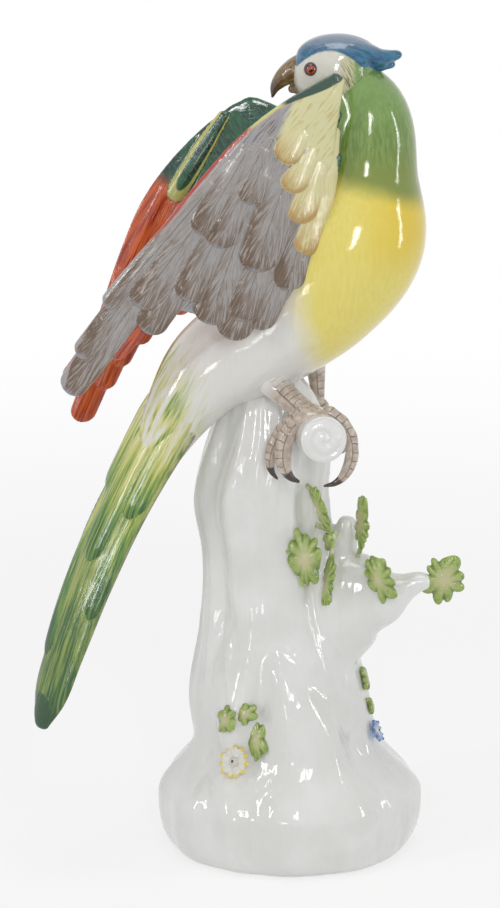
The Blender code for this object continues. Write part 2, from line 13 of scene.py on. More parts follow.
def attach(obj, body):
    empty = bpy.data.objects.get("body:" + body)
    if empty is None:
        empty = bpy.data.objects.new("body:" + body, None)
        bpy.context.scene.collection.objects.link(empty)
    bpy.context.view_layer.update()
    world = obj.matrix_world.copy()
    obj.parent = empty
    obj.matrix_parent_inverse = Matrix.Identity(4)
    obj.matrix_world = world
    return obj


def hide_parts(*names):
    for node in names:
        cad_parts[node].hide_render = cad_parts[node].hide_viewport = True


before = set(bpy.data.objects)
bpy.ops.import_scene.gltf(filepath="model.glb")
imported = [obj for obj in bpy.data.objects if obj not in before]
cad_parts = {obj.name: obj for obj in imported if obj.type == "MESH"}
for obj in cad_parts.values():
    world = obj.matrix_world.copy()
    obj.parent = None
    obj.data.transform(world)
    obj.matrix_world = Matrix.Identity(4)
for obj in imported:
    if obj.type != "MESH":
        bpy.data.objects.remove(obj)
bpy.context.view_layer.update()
figurine = "parrot_figurine"
stumpAxis = np.array((14.456, 0.12, 0.0))  # where the stump's axis stands in the frame, mm
perchHeight = 171.0


# Camera

cameraSettings = {
    "target": (-15.2, 0.0, 156.18),  # mm, from the stump's foot
    "distance": 1500.0,
    "lookDown": 15.0,
    "lens": 156.5,
}


def addCamera(look):
    aim = (np.array(look["target"]) + stumpAxis) / 1000
    down = math.radians(look["lookDown"])
    reach = look["distance"] / 1000
    place = (aim[0], aim[1] - reach * math.cos(down), aim[2] + reach * math.sin(down))
    bpy.ops.object.camera_add(location=place, rotation=(math.pi / 2 - down, 0, 0))
    camera = bpy.context.object
    camera.name = "studioCamera"
    camera.data.lens = look["lens"]
    camera.data.sensor_width = 36
    camera.data.clip_end = 20
    bpy.context.scene.camera = camera


addCamera(cameraSettings)
print("camera placed")


# Shaping

def selectOnly(*chosen):
    bpy.ops.object.select_all(action="DESELECT")
    for one in chosen:
        one.select_set(True)
    bpy.context.view_layer.objects.active = chosen[0]


def smooth(low, high, value):
    part = np.clip((np.asarray(value, float) - low) / (high - low), 0, 1)
    return part * part * (3 - 2 * part)


def mix(a, b, part):
    return a + (b - a) * part


def unitVector(vector):
    vector = np.asarray(vector, float)
    return vector / np.maximum(np.linalg.norm(vector, axis=-1, keepdims=True), 1e-9)


def puffed(turn, power):
    # the rounded height of a flat form's two faces
    return np.sign(np.sin(turn)) * np.abs(np.sin(turn)) ** power


def readRows(data, key):
    values = np.empty(len(data) * 3)
    data.foreach_get(key, values)
    return values.reshape(-1, 3)


def through(rows, at):
    # smooth curve through rows of (key, values...)
    rows = np.array(rows, float)
    keys, values = rows[:, 0], rows[:, 1:]
    slopes = np.gradient(values, keys, axis=0)
    at = np.clip(at, keys[0], keys[-1])
    low = np.clip(np.searchsorted(keys, at, side="right") - 1, 0, len(keys) - 2)
    span = (keys[low + 1] - keys[low])[:, None]
    t = (at - keys[low])[:, None] / span
    return ((2 * t ** 3 - 3 * t ** 2 + 1) * values[low] + (t ** 3 - 2 * t ** 2 + t) * span * slopes[low]
            + (3 * t ** 2 - 2 * t ** 3) * values[low + 1] + (t ** 3 - t ** 2) * span * slopes[low + 1])


def cappedShare(share, startCap, endCap):
    # a ball's way from pole to pole becomes a path with two rounded ends
    capPart = 0.16
    along = (share - capPart) / (1 - 2 * capPart)
    start = np.clip(share / capPart, 0, 1) * math.pi / 2
    end = np.clip((1 - share) / capPart, 0, 1) * math.pi / 2
    along = np.where(along < 0, -startCap * np.cos(start), along)
    along = np.where(along > 1, 1 + endCap * np.cos(end), along)
    return along, np.sin(start) * np.sin(end)


# where a point lies: along and across its feather in mm, as shares, and on the whole body
paintKeys = ("quill", "barb", "seat")


def addPaint(mesh, key, values):
    layer = mesh.attributes.new(key, "FLOAT_VECTOR", "POINT")
    layer.data.foreach_set("vector", values.ravel())


def ballForm(name, place, segments, rings):
    # a ball, reshaped by place(share from pole to pole, turn round the axis)
    bpy.ops.object.select_all(action="DESELECT")
    bpy.ops.mesh.primitive_uv_sphere_add(segments=segments, ring_count=rings, radius=1)
    form = bpy.context.object
    form.name = name
    ball = readRows(form.data.vertices, "co")
    share = np.arccos(np.clip(-ball[:, 2], -1, 1)) / math.pi
    turn = np.arctan2(ball[:, 1], ball[:, 0])
    points, paint = place(share, turn)
    form.data.vertices.foreach_set("co", ((points + stumpAxis) / 1000).ravel())
    for key in paintKeys:
        values = np.zeros(ball.shape)
        for column, given in enumerate(paint.get(key, ())):
            values[:, column] = given
        addPaint(form.data, key, values)
    form.data.update()
    return form


def tube(name, stations, across=(0, 1, 0), ends=(1, 1), segments=24, rings=48, flat=1.0, kind=0):
    # a path of (x, y, z, radius) or (x, y, z, half width, half thickness)
    rows = np.array([list(row) + [row[3] * flat] * (5 - len(row)) for row in stations], float)
    steps = np.linalg.norm(np.diff(rows[:, :3], axis=0), axis=1)
    keys = np.concatenate([[0], np.cumsum(steps)])
    length = keys[-1]
    rows = np.column_stack([keys / length, rows])

    def place(share, turn):
        along, cap = cappedShare(share, ends[0] * rows[0, 4] / length, ends[1] * rows[-1, 4] / length)
        inside = np.clip(along, 0, 1)
        values = through(rows, inside)
        later, sooner = [through(rows, np.clip(inside + step, 0, 1))[:, :3] for step in (0.01, -0.01)]
        ahead = unitVector(later - sooner)
        centre = values[:, :3] + ahead * ((along - inside) * length)[:, None]
        sideways = unitVector(np.cross(ahead, across))
        upward = np.cross(sideways, ahead)
        wide = values[:, 3] * cap * np.cos(turn)
        high = values[:, 4] * cap * np.sin(turn)
        points = centre + upward * wide[:, None] + sideways * high[:, None]
        return points, {"quill": (along * length, wide, 0.5), "barb": (along, cap * np.cos(turn), kind),
                        "seat": (length, np.sin(turn), 0)}

    return ballForm(name, place, segments, rings)


def oval(name, centre, radii, segments=40, rings=28, paint=None):
    def place(share, turn):
        ring = np.sin(share * math.pi)
        offset = np.column_stack([ring * np.cos(turn), ring * np.sin(turn), -np.cos(share * math.pi)])
        return np.array(centre) + offset * np.array(radii), dict(paint or {})
    return ballForm(name, place, segments, rings)


def carryPaint(source, piece):
    # each point takes the paint places of the nearest form
    mesh = source.data
    corners = [polygon.vertices[:] for polygon in mesh.polygons]
    places = [vertex.co.copy() for vertex in mesh.vertices]
    tree = BVHTree.FromPolygons(places, corners)
    count = len(piece.data.vertices)
    picked = np.zeros((count, 4), int)
    weights = np.zeros((count, 4))
    for number, vertex in enumerate(piece.data.vertices):
        spot, _, face, _ = tree.find_nearest(vertex.co)
        around = corners[face][:4]
        shares = poly_3d_calc([places[corner] for corner in around], spot)
        picked[number, :len(around)] = around
        weights[number, :len(around)] = shares
    bad = ~np.isfinite(weights).all(axis=1)
    weights[bad] = (1, 0, 0, 0)
    for key in paintKeys:
        values = readRows(mesh.attributes[key].data, "vector")
        addPaint(piece.data, key, (values[picked] * weights[:, :, None]).sum(axis=1))


def finish(piece, material):
    piece.data.materials.clear()
    piece.data.materials.append(material)
    selectOnly(piece)
    bpy.ops.object.shade_smooth()
    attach(piece, "root")
    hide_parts(figurine)
    return piece


def applyAll(piece):
    selectOnly(piece)
    for modifier in list(piece.modifiers):
        bpy.ops.object.modifier_apply(modifier=modifier.name)


def fuse(name, forms, voxel, material, rounds=3):
    # joins the forms, fuses them on a fine grid and rounds the creases as glaze does
    selectOnly(*forms)
    if len(forms) > 1:
        bpy.ops.object.join()
    source = bpy.context.object
    bpy.ops.object.duplicate()
    piece = bpy.context.object
    piece.name = name
    piece.data.name = name
    for key in paintKeys:
        piece.data.attributes.remove(piece.data.attributes[key])
    grid = piece.modifiers.new("grid", "REMESH")
    grid.mode = "VOXEL"
    grid.voxel_size = voxel / 1000
    soften = piece.modifiers.new("soften", "SMOOTH")
    soften.factor = 0.5
    soften.iterations = rounds
    applyAll(piece)
    carryPaint(source, piece)
    bpy.data.objects.remove(source)
    print(name, "fused,", sum(len(face.vertices) - 2 for face in piece.data.polygons), "triangles")
    return finish(piece, material)


def bird(x, y, z):
    return np.array((x, y, perchHeight + z))


# Materials

glazeSettings = {
    "IOR": 1.52,
    "Coat Weight": 0.35,
    "Coat Roughness": 0.03,
}


class Wire:
    # a socket with the usual operators; each adds its Math node
    def __init__(self, bench, socket):
        self.bench = bench
        self.socket = socket

    def math(self, operation, *others, swap=False):
        values = [self, *others]
        if swap:
            values.reverse()
        return self.bench.node("ShaderNodeMath", {"operation": operation}, dict(enumerate(values)))

    def __add__(self, other): return self.math("ADD", other)
    def __sub__(self, other): return self.math("SUBTRACT", other)
    def __rsub__(self, other): return self.math("SUBTRACT", other, swap=True)
    def __mul__(self, other): return self.math("MULTIPLY", other)
    def __truediv__(self, other): return self.math("DIVIDE", other)
    def __pow__(self, other): return self.math("POWER", other)
    def __neg__(self): return self.math("MULTIPLY", -1.0)
    def __abs__(self): return self.math("ABSOLUTE")
    def __lt__(self, other): return self.math("LESS_THAN", other)
    def __gt__(self, other): return self.math("GREATER_THAN", other)
    def sine(self): return self.math("SINE")
    def least(self, other): return self.math("MINIMUM", other)
    def most(self, other): return self.math("MAXIMUM", other)

    def step(self, low, high):
        return self.bench.node("ShaderNodeMapRange", {"interpolation_type": "SMOOTHSTEP"},
                               {"Value": self, "From Min": low, "From Max": high})


class Bench:
    # the nodes of one material, or of the world
    def __init__(self, name, world=False):
        self.material = bpy.data.worlds.new(name) if world else bpy.data.materials.new(name)
        self.output = "ShaderNodeOutputWorld" if world else "ShaderNodeOutputMaterial"
        self.material.use_nodes = True
        self.tree = self.material.node_tree
        self.tree.nodes.clear()

    def node(self, kind, settings, sockets, out=0):
        made = self.tree.nodes.new(kind)
        for key, value in settings.items():
            if key == "stops":
                stops = made.color_ramp.elements
                while len(stops) < len(value):
                    stops.new(0.5)
                for stop, (place, colour) in zip(stops, value):
                    stop.position = place
                    stop.color = (*colour, 1)
            else:
                setattr(made, key, value)
        for key, value in sockets.items():
            if isinstance(value, Wire):
                self.tree.links.new(value.socket, made.inputs[key])
            else:
                made.inputs[key].default_value = value
        return Wire(self, made.outputs[out])

    def parts(self, wire):
        split = self.node("ShaderNodeSeparateXYZ", {}, {0: wire}).socket.node
        return [Wire(self, socket) for socket in split.outputs]

    def attribute(self, name):
        return self.parts(self.node("ShaderNodeAttribute", {"attribute_name": name}, {}, out="Vector"))

    def place(self):
        return self.node("ShaderNodeTexCoord", {}, {}, out="Object")

    def vector(self, x, y, z):
        return self.node("ShaderNodeCombineXYZ", {}, {0: x, 1: y, 2: z})

    def noise(self, vector, scale, detail=2.0, roughness=0.5):
        return self.node("ShaderNodeTexNoise", {}, {"Vector": vector, "Scale": scale, "Detail": detail,
                                                    "Roughness": roughness}, out="Fac")

    def grain(self, x, y, z, detail=2.0, roughness=0.5):
        # noise through values that are scaled already
        return self.noise(self.vector(x, y, z), 1.0, detail, roughness)

    def blend(self, factor, low, high):
        low = low if isinstance(low, Wire) else (*low, 1)
        high = high if isinstance(high, Wire) else (*high, 1)
        return self.node("ShaderNodeMix", {"data_type": "RGBA"}, {0: factor, 6: low, 7: high}, out=2)

    def layers(self, colour, *coats):
        # each coat is its cover and its colour
        for cover, coat in coats:
            colour = self.blend(cover, colour, coat)
        return colour

    def glaze(self, colour, height, depth, roughness=0.1):
        bump = self.node("ShaderNodeBump", {}, {"Strength": 1.0, "Distance": depth, "Height": height})
        self.finish(self.node("ShaderNodeBsdfPrincipled", {}, {
            "Base Color": colour, "Roughness": roughness, "Normal": bump, **glazeSettings}))
        return self.material

    def finish(self, shader):
        output = self.tree.nodes.new(self.output)
        self.tree.links.new(shader.socket, output.inputs["Surface"])

    def waves(self):
        # the slow unevenness of a thick glaze
        return self.noise(self.place(), 70.0, 2.0)

    def seen(self):
        # rays that see the white ground: the camera's, and those that mirrors and glass send on
        rays = self.node("ShaderNodeLightPath", {}, {}).socket.node.outputs
        straight, mirrored, passed = [Wire(self, rays["Is " + kind + " Ray"])
                                      for kind in ("Camera", "Glossy", "Transmission")]
        return straight.most(mirrored).most(passed)

    def mm(self):
        # place round the stump's axis in millimetres, height above the perch
        x, y, z = self.parts(self.place())
        return x * 1000.0 - float(stumpAxis[0]), y * 1000.0, z * 1000.0 - perchHeight


def within(value, low, high):
    return (value > low) * (value < high)


def makeWhiteGlaze():
    bench = Bench("whiteGlaze")
    x, y, z = bench.mm()
    flow = bench.grain(x * 0.16, y * 0.16, z * 0.02)
    cloud = bench.noise(bench.vector(x, y, z), 0.05, 3.0)
    colour = bench.blend(cloud.step(0.35, 0.7), (0.735, 0.735, 0.715), (0.80, 0.80, 0.785))
    return bench.glaze(colour, flow * 0.8 + bench.waves(), 0.0009)


def makeWingPaint():
    bench = Bench("wingPaint")
    alongMm, acrossMm, tone = bench.attribute("quill")
    share, v, kind = bench.attribute("barb")
    wingShare, edge, face = bench.attribute("seat")
    half = abs(v)
    offShaft = abs(acrossMm)
    # hairs follow the outline and open a little towards the tip
    crossHair = half * 12.0 - alongMm * 0.34
    seed = tone * 57.0 + (acrossMm > 0) * 9.0
    hairs = bench.grain(crossHair, alongMm * 0.14, seed, 3.0, 0.62)
    fineHairs = bench.grain(crossHair * 2.3, alongMm * 0.22, seed + 3.0)
    patch = bench.grain(alongMm * 0.09, acrossMm * 0.16, seed + 7.0, 1.0)
    tip = share.step(0.55, 1.0)
    border = half.step(0.25, 0.95)
    fromEnd = ((share - 0.72) / 0.25).most(0.0)
    rounded = half * half + fromEnd * fromEnd
    leading = v.step(-0.15, 0.95) * 0.75 + (0.0 - v).step(0.6, 1.0) * 0.35
    dense = (leading * share.step(0.15, 0.55) + tip * 0.75 + (patch - 0.5) * 0.9).most(0.0).least(1.0)
    strokes = (hairs + dense * 0.13).step(0.50, 0.60)
    light = fineHairs.step(0.48, 0.62)
    shaft = (1.0 - offShaft.step(0.08, 0.24)) * within(share, 0.04, 0.82)
    rim = (half.step(0.88, 1.0)).most(share.step(0.965, 1.0))

    # grey-lavender feathers of the underside
    grey = bench.layers((0.365, 0.352, 0.350), (light * 0.60, (0.245, 0.200, 0.160)),
                        (dense * 0.28, (0.30, 0.205, 0.125)),
                        (strokes * (dense * 0.76 + 0.18), (0.140, 0.080, 0.040)),
                        (light * strokes * dense * 0.45, (0.045, 0.026, 0.015)),
                        (shaft * 0.65, (0.12, 0.085, 0.06)), (rim * 0.65, (0.33, 0.35, 0.40)))

    # cream coverts at the shoulder
    tipCream = share.step(0.60, 1.0) + border * 0.15 * share
    outline = rounded.step(0.72, 1.0)
    cream = bench.layers((0.73, 0.68, 0.38), (light * 0.40, (0.66, 0.57, 0.25)),
                         (tipCream * 0.22, (0.62, 0.46, 0.13)),
                         (strokes * (tipCream * 0.55 + 0.08), (0.40, 0.20, 0.03)),
                         (outline * tipCream * 0.55, (0.42, 0.22, 0.03)))

    # bare sheet of the underside
    sheetHair = bench.grain(alongMm * 0.14 + acrossMm * 0.05, acrossMm * 1.7, 4.0, 3.0, 0.6)
    sheetGrey = bench.blend(sheetHair.step(0.48, 0.62) * 0.8, (0.35, 0.345, 0.36), (0.15, 0.11, 0.085))
    sheetMark = bench.grain(alongMm * 0.16 + acrossMm * 0.05, acrossMm * 0.8, 1.0, 3.0)
    sheetCream = bench.blend(sheetMark.step(0.52, 0.66) * 0.6, (0.72, 0.69, 0.38), (0.56, 0.42, 0.13))
    toGrey = alongMm.most(alongMm + acrossMm * 3.1 - 21.5 + (sheetHair - 0.5) * 14.0).step(17.5, 26.0)
    bare = bench.blend(toGrey, sheetCream, sheetGrey)

    # green, yellow and red of the upper side
    hatch = bench.grain(alongMm * 1.5 + acrossMm * 0.5, acrossMm * 0.45, seed, 3.0, 0.6)
    teal = bench.layers((0.006, 0.030, 0.022), (hatch.step(0.42, 0.62), (0.020, 0.125, 0.075)),
                        (tip * 0.25, (0.05, 0.20, 0.05)),
                        ((patch - 0.3).step(0.1, 0.4) * 0.35, (0.02, 0.16, 0.04)))
    yellowRim = rounded.step(0.34, 0.52)
    green = bench.blend(yellowRim * (1.0 - strokes * 0.3), teal, (0.62, 0.58, 0.17))
    streak = bench.grain(acrossMm * 1.1, alongMm * 0.06, seed, 3.0, 0.6)
    paleStroke = bench.grain(acrossMm * 2.6, alongMm * 0.05, seed + 5.0, 1.0)
    red = bench.layers((0.30, 0.022, 0.008), (streak.step(0.34, 0.60), (0.68, 0.125, 0.025)),
                       (border * 0.25, (0.34, 0.026, 0.01)),
                       (paleStroke.step(0.66, 0.74) * 0.6, (0.72, 0.36, 0.22)))
    sheetUpper = bench.blend(wingShare.step(0.30, 0.36), teal, red)

    outer = bench.layers(bare, (kind > 0.5, grey), (kind < -0.5, cream))
    inner = bench.layers(sheetUpper, (kind > 0.5, red), (kind < -0.5, teal), (kind < -1.5, green))
    # the front edge: teal at the wrist, then a red line, then a pale line
    wrist = (1.0 - wingShare.step(-0.02, 0.11)) * 3.0
    lineWidth = 1.0 - (edge + wingShare.step(0.45, 0.60) - wrist).step(0.9, 1.5)
    edgeColour = bench.layers((0.004, 0.055, 0.034), (wingShare.step(0.075, 0.095), (0.60, 0.57, 0.22)),
                              (wingShare.step(0.17, 0.20), (0.45, 0.05, 0.03)),
                              (wingShare.step(0.50, 0.60), (0.36, 0.34, 0.34)))
    pale = within(edge, 1.3, 2.1) * (1.0 - wingShare.step(0.45, 0.6))
    outer = bench.layers(outer, (pale * 0.35, (0.62, 0.45, 0.42)), (lineWidth * 0.97, edgeColour))
    colour = bench.blend(face > 0.0, inner, outer)
    relief = hairs * 0.12 + shaft * -0.10 + bench.waves() * 1.4
    return bench.glaze(colour, relief, 0.0007, 0.08)


def makeTailPaint():
    bench = Bench("tailPaint")
    alongMm, _, tone = bench.attribute("quill")
    share, v, kind = bench.attribute("barb")
    tailShare, acrossTail, face = bench.attribute("seat")
    seed = tone * 41.0
    streak = bench.grain(acrossTail * 1.15, alongMm * 0.045, seed, 3.0, 0.6)
    fine = bench.grain(acrossTail * 3.2, alongMm * 0.12, seed + 2.0)
    stray = streak - 0.5
    deep = share * 0.55 + tailShare * 0.52 - 0.06 + stray * 1.5 + abs(v).step(0.5, 1.0) * 0.10
    feather = bench.node("ShaderNodeValToRGB", {"stops": [
        (0.0, (0.72, 0.70, 0.36)), (0.32, (0.56, 0.56, 0.14)), (0.52, (0.26, 0.37, 0.06)),
        (0.72, (0.07, 0.20, 0.028)), (0.93, (0.018, 0.075, 0.018))]},
        {"Fac": deep.most(0.0).least(1.0)}, out="Color")
    feather = bench.blend(fine.step(0.56, 0.70) * 0.45, feather, (0.10, 0.20, 0.02))
    core = bench.blend(streak.step(0.42, 0.62), (0.46, 0.50, 0.14), (0.08, 0.21, 0.035))
    lowCore = bench.blend(streak.step(0.34, 0.60), (0.24, 0.33, 0.06), (0.025, 0.105, 0.022))
    painted = bench.layers(core, (tailShare.step(0.35, 0.85), lowCore), (kind > 0.5, feather))
    coverts = bench.blend(fine.step(0.48, 0.66) * 0.60, (0.74, 0.735, 0.66), (0.52, 0.51, 0.20))
    under = bench.blend(streak.step(0.4, 0.6), (0.30, 0.25, 0.20), (0.15, 0.12, 0.09))
    colour = bench.layers(coverts, ((tailShare + stray * 0.5).step(0.02, 0.22), painted),
                          ((face < -0.2) * tailShare.step(0.05, 0.2), under),
                          ((tailShare + stray * 0.12).step(0.88, 0.98), (0.016, 0.07, 0.022)))
    return bench.glaze(colour, fine * 0.15 + bench.waves(), 0.0006)


def makeBodyPaint():
    bench = Bench("bodyPaint")
    x, y, z = bench.mm()
    cloud = bench.noise(bench.vector(x, y, z), 0.045, 3.0)
    brush = bench.grain(x * 0.9, y * 0.9, z * 0.10, 3.0, 0.6)
    soft = (cloud - 0.5) * 26.0
    green = bench.layers((0.125, 0.215, 0.032), (brush.step(0.35, 0.68), (0.205, 0.330, 0.070)),
                         ((z - 118.0 + soft * 0.3).step(-14.0, 12.0) * 0.7, (0.21, 0.36, 0.10)))
    green = bench.blend((z + soft * 0.2).step(92.0, 108.0), (0.20, 0.26, 0.035), green)
    gold = x.step(18.0, 44.0) * (z + soft * 0.4).step(52.0, 74.0) * (1.0 - z.step(84.0, 100.0))
    yellow = bench.layers((0.79, 0.69, 0.17), (brush.step(0.3, 0.7) * 0.5, (0.74, 0.60, 0.085)),
                          (gold * 0.90, (0.77, 0.56, 0.03)))
    paint = bench.blend((z + soft * 0.35 + (x - 30.0) * 0.27).step(84.5, 93.5), yellow, green)
    # tail coverts begin on the rump
    acrossRump, alongRump = x * 0.89 - z * 0.46, z * 0.89 + x * 0.46
    backward = 0.0 - x - z * 0.25
    lengthwise = bench.grain(acrossRump * 0.95, y, alongRump * 0.07, 3.0, 0.6)
    stroke = bench.grain(acrossRump * 0.42, y * 0.45, alongRump * 0.05)
    toStroke = backward.step(27.0, 46.0)
    body = bench.layers((0.755, 0.75, 0.72), (brush.step(0.45, 0.75) * 0.15, (0.62, 0.63, 0.36)),
                        (backward.step(12.0, 52.0) * lengthwise.step(0.46, 0.66) * 0.60, (0.58, 0.57, 0.24)),
                        (toStroke * stroke.step(0.42, 0.55) * 0.85, (0.62, 0.61, 0.12)),
                        (toStroke * stroke.step(0.53, 0.62) * lengthwise.step(0.3, 0.6), (0.10, 0.26, 0.06)))
    colour = bench.blend((x + z * 0.28 + soft * 0.35).step(9.0, 24.0), body, paint)
    return bench.glaze(colour, bench.waves() + brush * 0.05, 0.0007)


def makeHeadPaint():
    bench = Bench("headPaint")
    x, y, z = bench.mm()
    cx, cy, cz = headSettings["centre"]
    x, y, z = x - cx, y - cy, z - cz
    brush = bench.grain(x * 0.13, y * 0.9, z + x * 0.28, 3.0, 0.6)
    blue = bench.layers((0.010, 0.075, 0.170), (brush.step(0.35, 0.65), (0.020, 0.185, 0.320)),
                        ((z - 9.0 + brush * 4.0).step(1.0, 6.5) * 0.8, (0.23, 0.27, 0.36)))
    green = bench.blend(brush.step(0.3, 0.7), (0.15, 0.26, 0.05), (0.21, 0.36, 0.10))
    hatch = bench.grain((x + z * 0.55) * 3.0, (z - x * 0.55) * 0.2, y * 0.3)
    cheek = x.step(1.0, 5.0) * (1.0 - x.step(8.5, 11.0))
    face = bench.layers((0.72, 0.70, 0.62), (brush.step(0.45, 0.8) * 0.3, (0.60, 0.56, 0.38)),
                        (cheek * 0.6, (0.50, 0.50, 0.18)),
                        (cheek * hatch.step(0.50, 0.58), (0.15, 0.13, 0.03)))
    line = (9.3 - (x + 1.6) * (x + 1.6) * 0.045).most(2.8 - (x - 13.0).most(0.0) * 0.9)
    crown = (z - line + brush * 0.8).step(0.0, 0.9)
    colour = bench.layers(face, ((x + brush * 2.0).step(7.0, 10.0), green), (crown, blue))
    return bench.glaze(colour, bench.waves() + brush * 0.12, 0.0006)


def makeBeakPaint():
    bench = Bench("beakPaint")
    x, y, z = bench.mm()
    streak = bench.grain(x * 0.4, y * 1.6, z * 0.25, 3.0)
    tipDark = (0.0 - (x + 2.0) - (z - 128.0) * 0.45).step(-1.0, 9.0)
    colour = bench.layers((0.16, 0.085, 0.022), (streak.step(0.35, 0.7), (0.30, 0.21, 0.10)),
                          (tipDark, (0.055, 0.040, 0.034)))
    return bench.glaze(colour, streak * 0.3 + bench.waves(), 0.0005)


def makeEyePaint():
    bench = Bench("eyePaint")
    x, y, z = bench.mm()
    cx, _, cz = headSettings["centre"]
    ex, _, ez = headSettings["eye"]
    away = ((x - (cx + ex)) ** 2.0 + (z - (cz + ez)) ** 2.0).math("SQRT")
    ring = bench.noise(bench.vector(x, y, z), 1.4, 2.0)
    # iris, pupil and rim
    colour = bench.layers((0.38, 0.02, 0.01), (ring.step(0.4, 0.6), (0.52, 0.075, 0.02)),
                          (1.0 - away.step(0.55, 0.75), (0.008, 0.006, 0.006)),
                          (away.step(1.45, 1.7), (0.02, 0.012, 0.01)))
    return bench.glaze(colour, ring, 0.0001, 0.05)


def makeFeetPaint():
    bench = Bench("feetPaint")
    alongMm = bench.attribute("quill")[0]
    share, v, kind = bench.attribute("barb")
    upward = bench.attribute("seat")[1]
    cloud = bench.noise(bench.place(), 420.0, 3.0)
    # scale lines cross only the outer side, up to a line along the toe or leg
    outward = bench.node("ShaderNodeMix", {"data_type": "FLOAT"}, {0: kind > 0.5, 2: upward, 3: -upward})
    lineWay = alongMm * 2.1 + v * 0.9 + cloud * 3.6
    ringLine = lineWay.sine().step(0.93, 0.995) * outward.step(0.02, 0.12)
    ridge = 1.0 - abs(outward - 0.05).step(0.04, 0.12)
    feathered = (1.0 - kind) * (1.0 - (share + cloud * 0.1).step(0.46, 0.68))
    claw = kind * share.step(0.79, 0.83)
    colour = bench.layers((0.44, 0.355, 0.29), (cloud.step(0.35, 0.7), (0.60, 0.515, 0.44)),
                          (ringLine * (cloud * 0.6 + 0.55), (0.12, 0.075, 0.05)),
                          (ridge * 0.65, (0.13, 0.085, 0.06)), (feathered, (0.745, 0.74, 0.715)),
                          (claw, (0.045, 0.024, 0.015)))
    return bench.glaze(colour, (1.0 - ringLine) * 0.5 + cloud * 0.2, 0.0004)


def makeLeafPaint():
    bench = Bench("leafPaint")
    lobe = bench.attribute("quill")[2]
    rim, _, kind = bench.attribute("barb")
    mottle = bench.noise(bench.place(), 520.0, 3.0, 0.6)
    cloud = bench.noise(bench.place(), 130.0, 1.0)
    reach = rim + (mottle - 0.5) * 0.5 + (cloud - 0.5) * 0.5
    notch = (1.0 - lobe.step(0.25, 0.85)) * rim.step(0.35, 0.95)
    stem = bench.blend(mottle.step(0.4, 0.6), (0.60, 0.61, 0.42), (0.34, 0.44, 0.14))
    colour = bench.layers((0.53, 0.51, 0.28), (reach.step(0.15, 0.70), (0.33, 0.43, 0.11)),
                          (reach.step(0.62, 0.98) * 0.80, (0.25, 0.365, 0.055)),
                          ((mottle - 0.2).step(0.34, 0.44) * rim * 0.65, (0.54, 0.62, 0.20)),
                          ((0.44 - mottle).step(0.0, 0.06) * rim * 0.6, (0.11, 0.18, 0.02)),
                          (notch * 0.75, (0.085, 0.150, 0.02)))
    colour = bench.blend(kind > 0.5, stem, colour)
    return bench.glaze(colour, mottle * 0.8 - notch * 0.5 + bench.waves(), 0.0005, 0.07)


def makeFlowerPaint(name, petal, tip):
    bench = Bench(name)
    _, share, kind = bench.attribute("barb")
    mottle = bench.noise(bench.place(), 900.0, 2.0)
    colour = bench.layers(petal, ((share + (mottle - 0.5) * 0.5).step(0.60, 0.90), tip),
                          (kind > 1.5, (0.64, 0.61, 0.56)), (kind > 2.5, (0.06, 0.012, 0.01)))
    return bench.glaze(colour, bench.waves(), 0.0004)


# Stump: rounded mound and fluted trunk, hollow and open below

stumpSettings = {
    "footRadius": 43.0,
    "moundRadius": 50.7,
    "moundHeight": 46.0,
    "trunkHeight": 192.0,
    "depthRatio": 0.92,
    "fluteDepth": 0.045,
    "wall": 7.0,
    "footRim": 14.0,
    "hollowHeight": 148.0,
    # share of the way from mound to trunk top, shift of the axis, half width
    "trunk": [(0, -1.8, 34.6), (0.09, -4.2, 34.2), (0.31, -6.9, 28.8), (0.5, -9.2, 25.6), (0.65, -11.8, 25.8),
              (0.83, -8, 22), (0.94, -8, 15), (1, -8, 8)],
    # valleys between the roots: depth, half width, then height and turn in degrees up the bark
    "valleys": [(4.2, 5.0, [(95, -134), (115, -137), (165, -137)]),
                (3.4, 7.0, [(12, -43), (30, -44), (45, -42), (55, -46), (67, -57), (84, -78), (135, -88)]),
                (1.9, 4.5, [(10, -27), (38, -31), (60, -32), (74, -36)]),
                (2.6, 5.5, [(6, -106), (25, -107), (45, -113), (62, -101), (85, -92)]),
                (3.0, 6.5, [(6, -126), (30, -131), (55, -141), (70, -129), (92, -126)]),
                (2.6, 7.0, [(8, 172), (50, 168), (100, 176), (150, 170)]),
                (2.8, 7.0, [(8, 128), (40, 120), (90, 126), (150, 118)]),
                (2.4, 6.0, [(8, 88), (50, 94), (110, 86)]),
                (2.8, 7.0, [(8, 48), (45, 56), (95, 48), (160, 60)]),
                (2.2, 6.0, [(8, 12), (40, 6), (62, 14)])],
    # roots that swell between trunk and mound: turn and half width in degrees, swelling
    "roots": [(-70, 24, 5.6), (-120, 16, 4.2), (-20, 12, 2.0), (-163, 14, 2.0), (100, 24, 4.5),
              (30, 16, 3.0)],
    "voxel": 1.1,
}


def stumpShape(height, look):
    mound, lip, shoulder = look["moundHeight"], 0.38 * look["moundHeight"], 0.48 * look["moundHeight"]
    trunk = through(look["trunk"], (height - mound) / (look["trunkHeight"] - mound))
    rise = np.clip(height / lip, 0, 1)
    low = mix(look["footRadius"], look["moundRadius"], np.sqrt(1 - (1 - rise) ** 2))
    fall = smooth(shoulder, mound, height)
    half = np.where(height < lip, low, mix(look["moundRadius"], look["trunk"][0][2], fall))
    shift = look["trunk"][0][1] * fall
    above = height > mound
    return np.where(above, trunk[:, 0], shift), np.where(above, trunk[:, 1], half)


def turnAway(turn, middle):
    # the smaller angle between two turns
    return np.abs(np.angle(np.exp(1j * (turn - middle))))


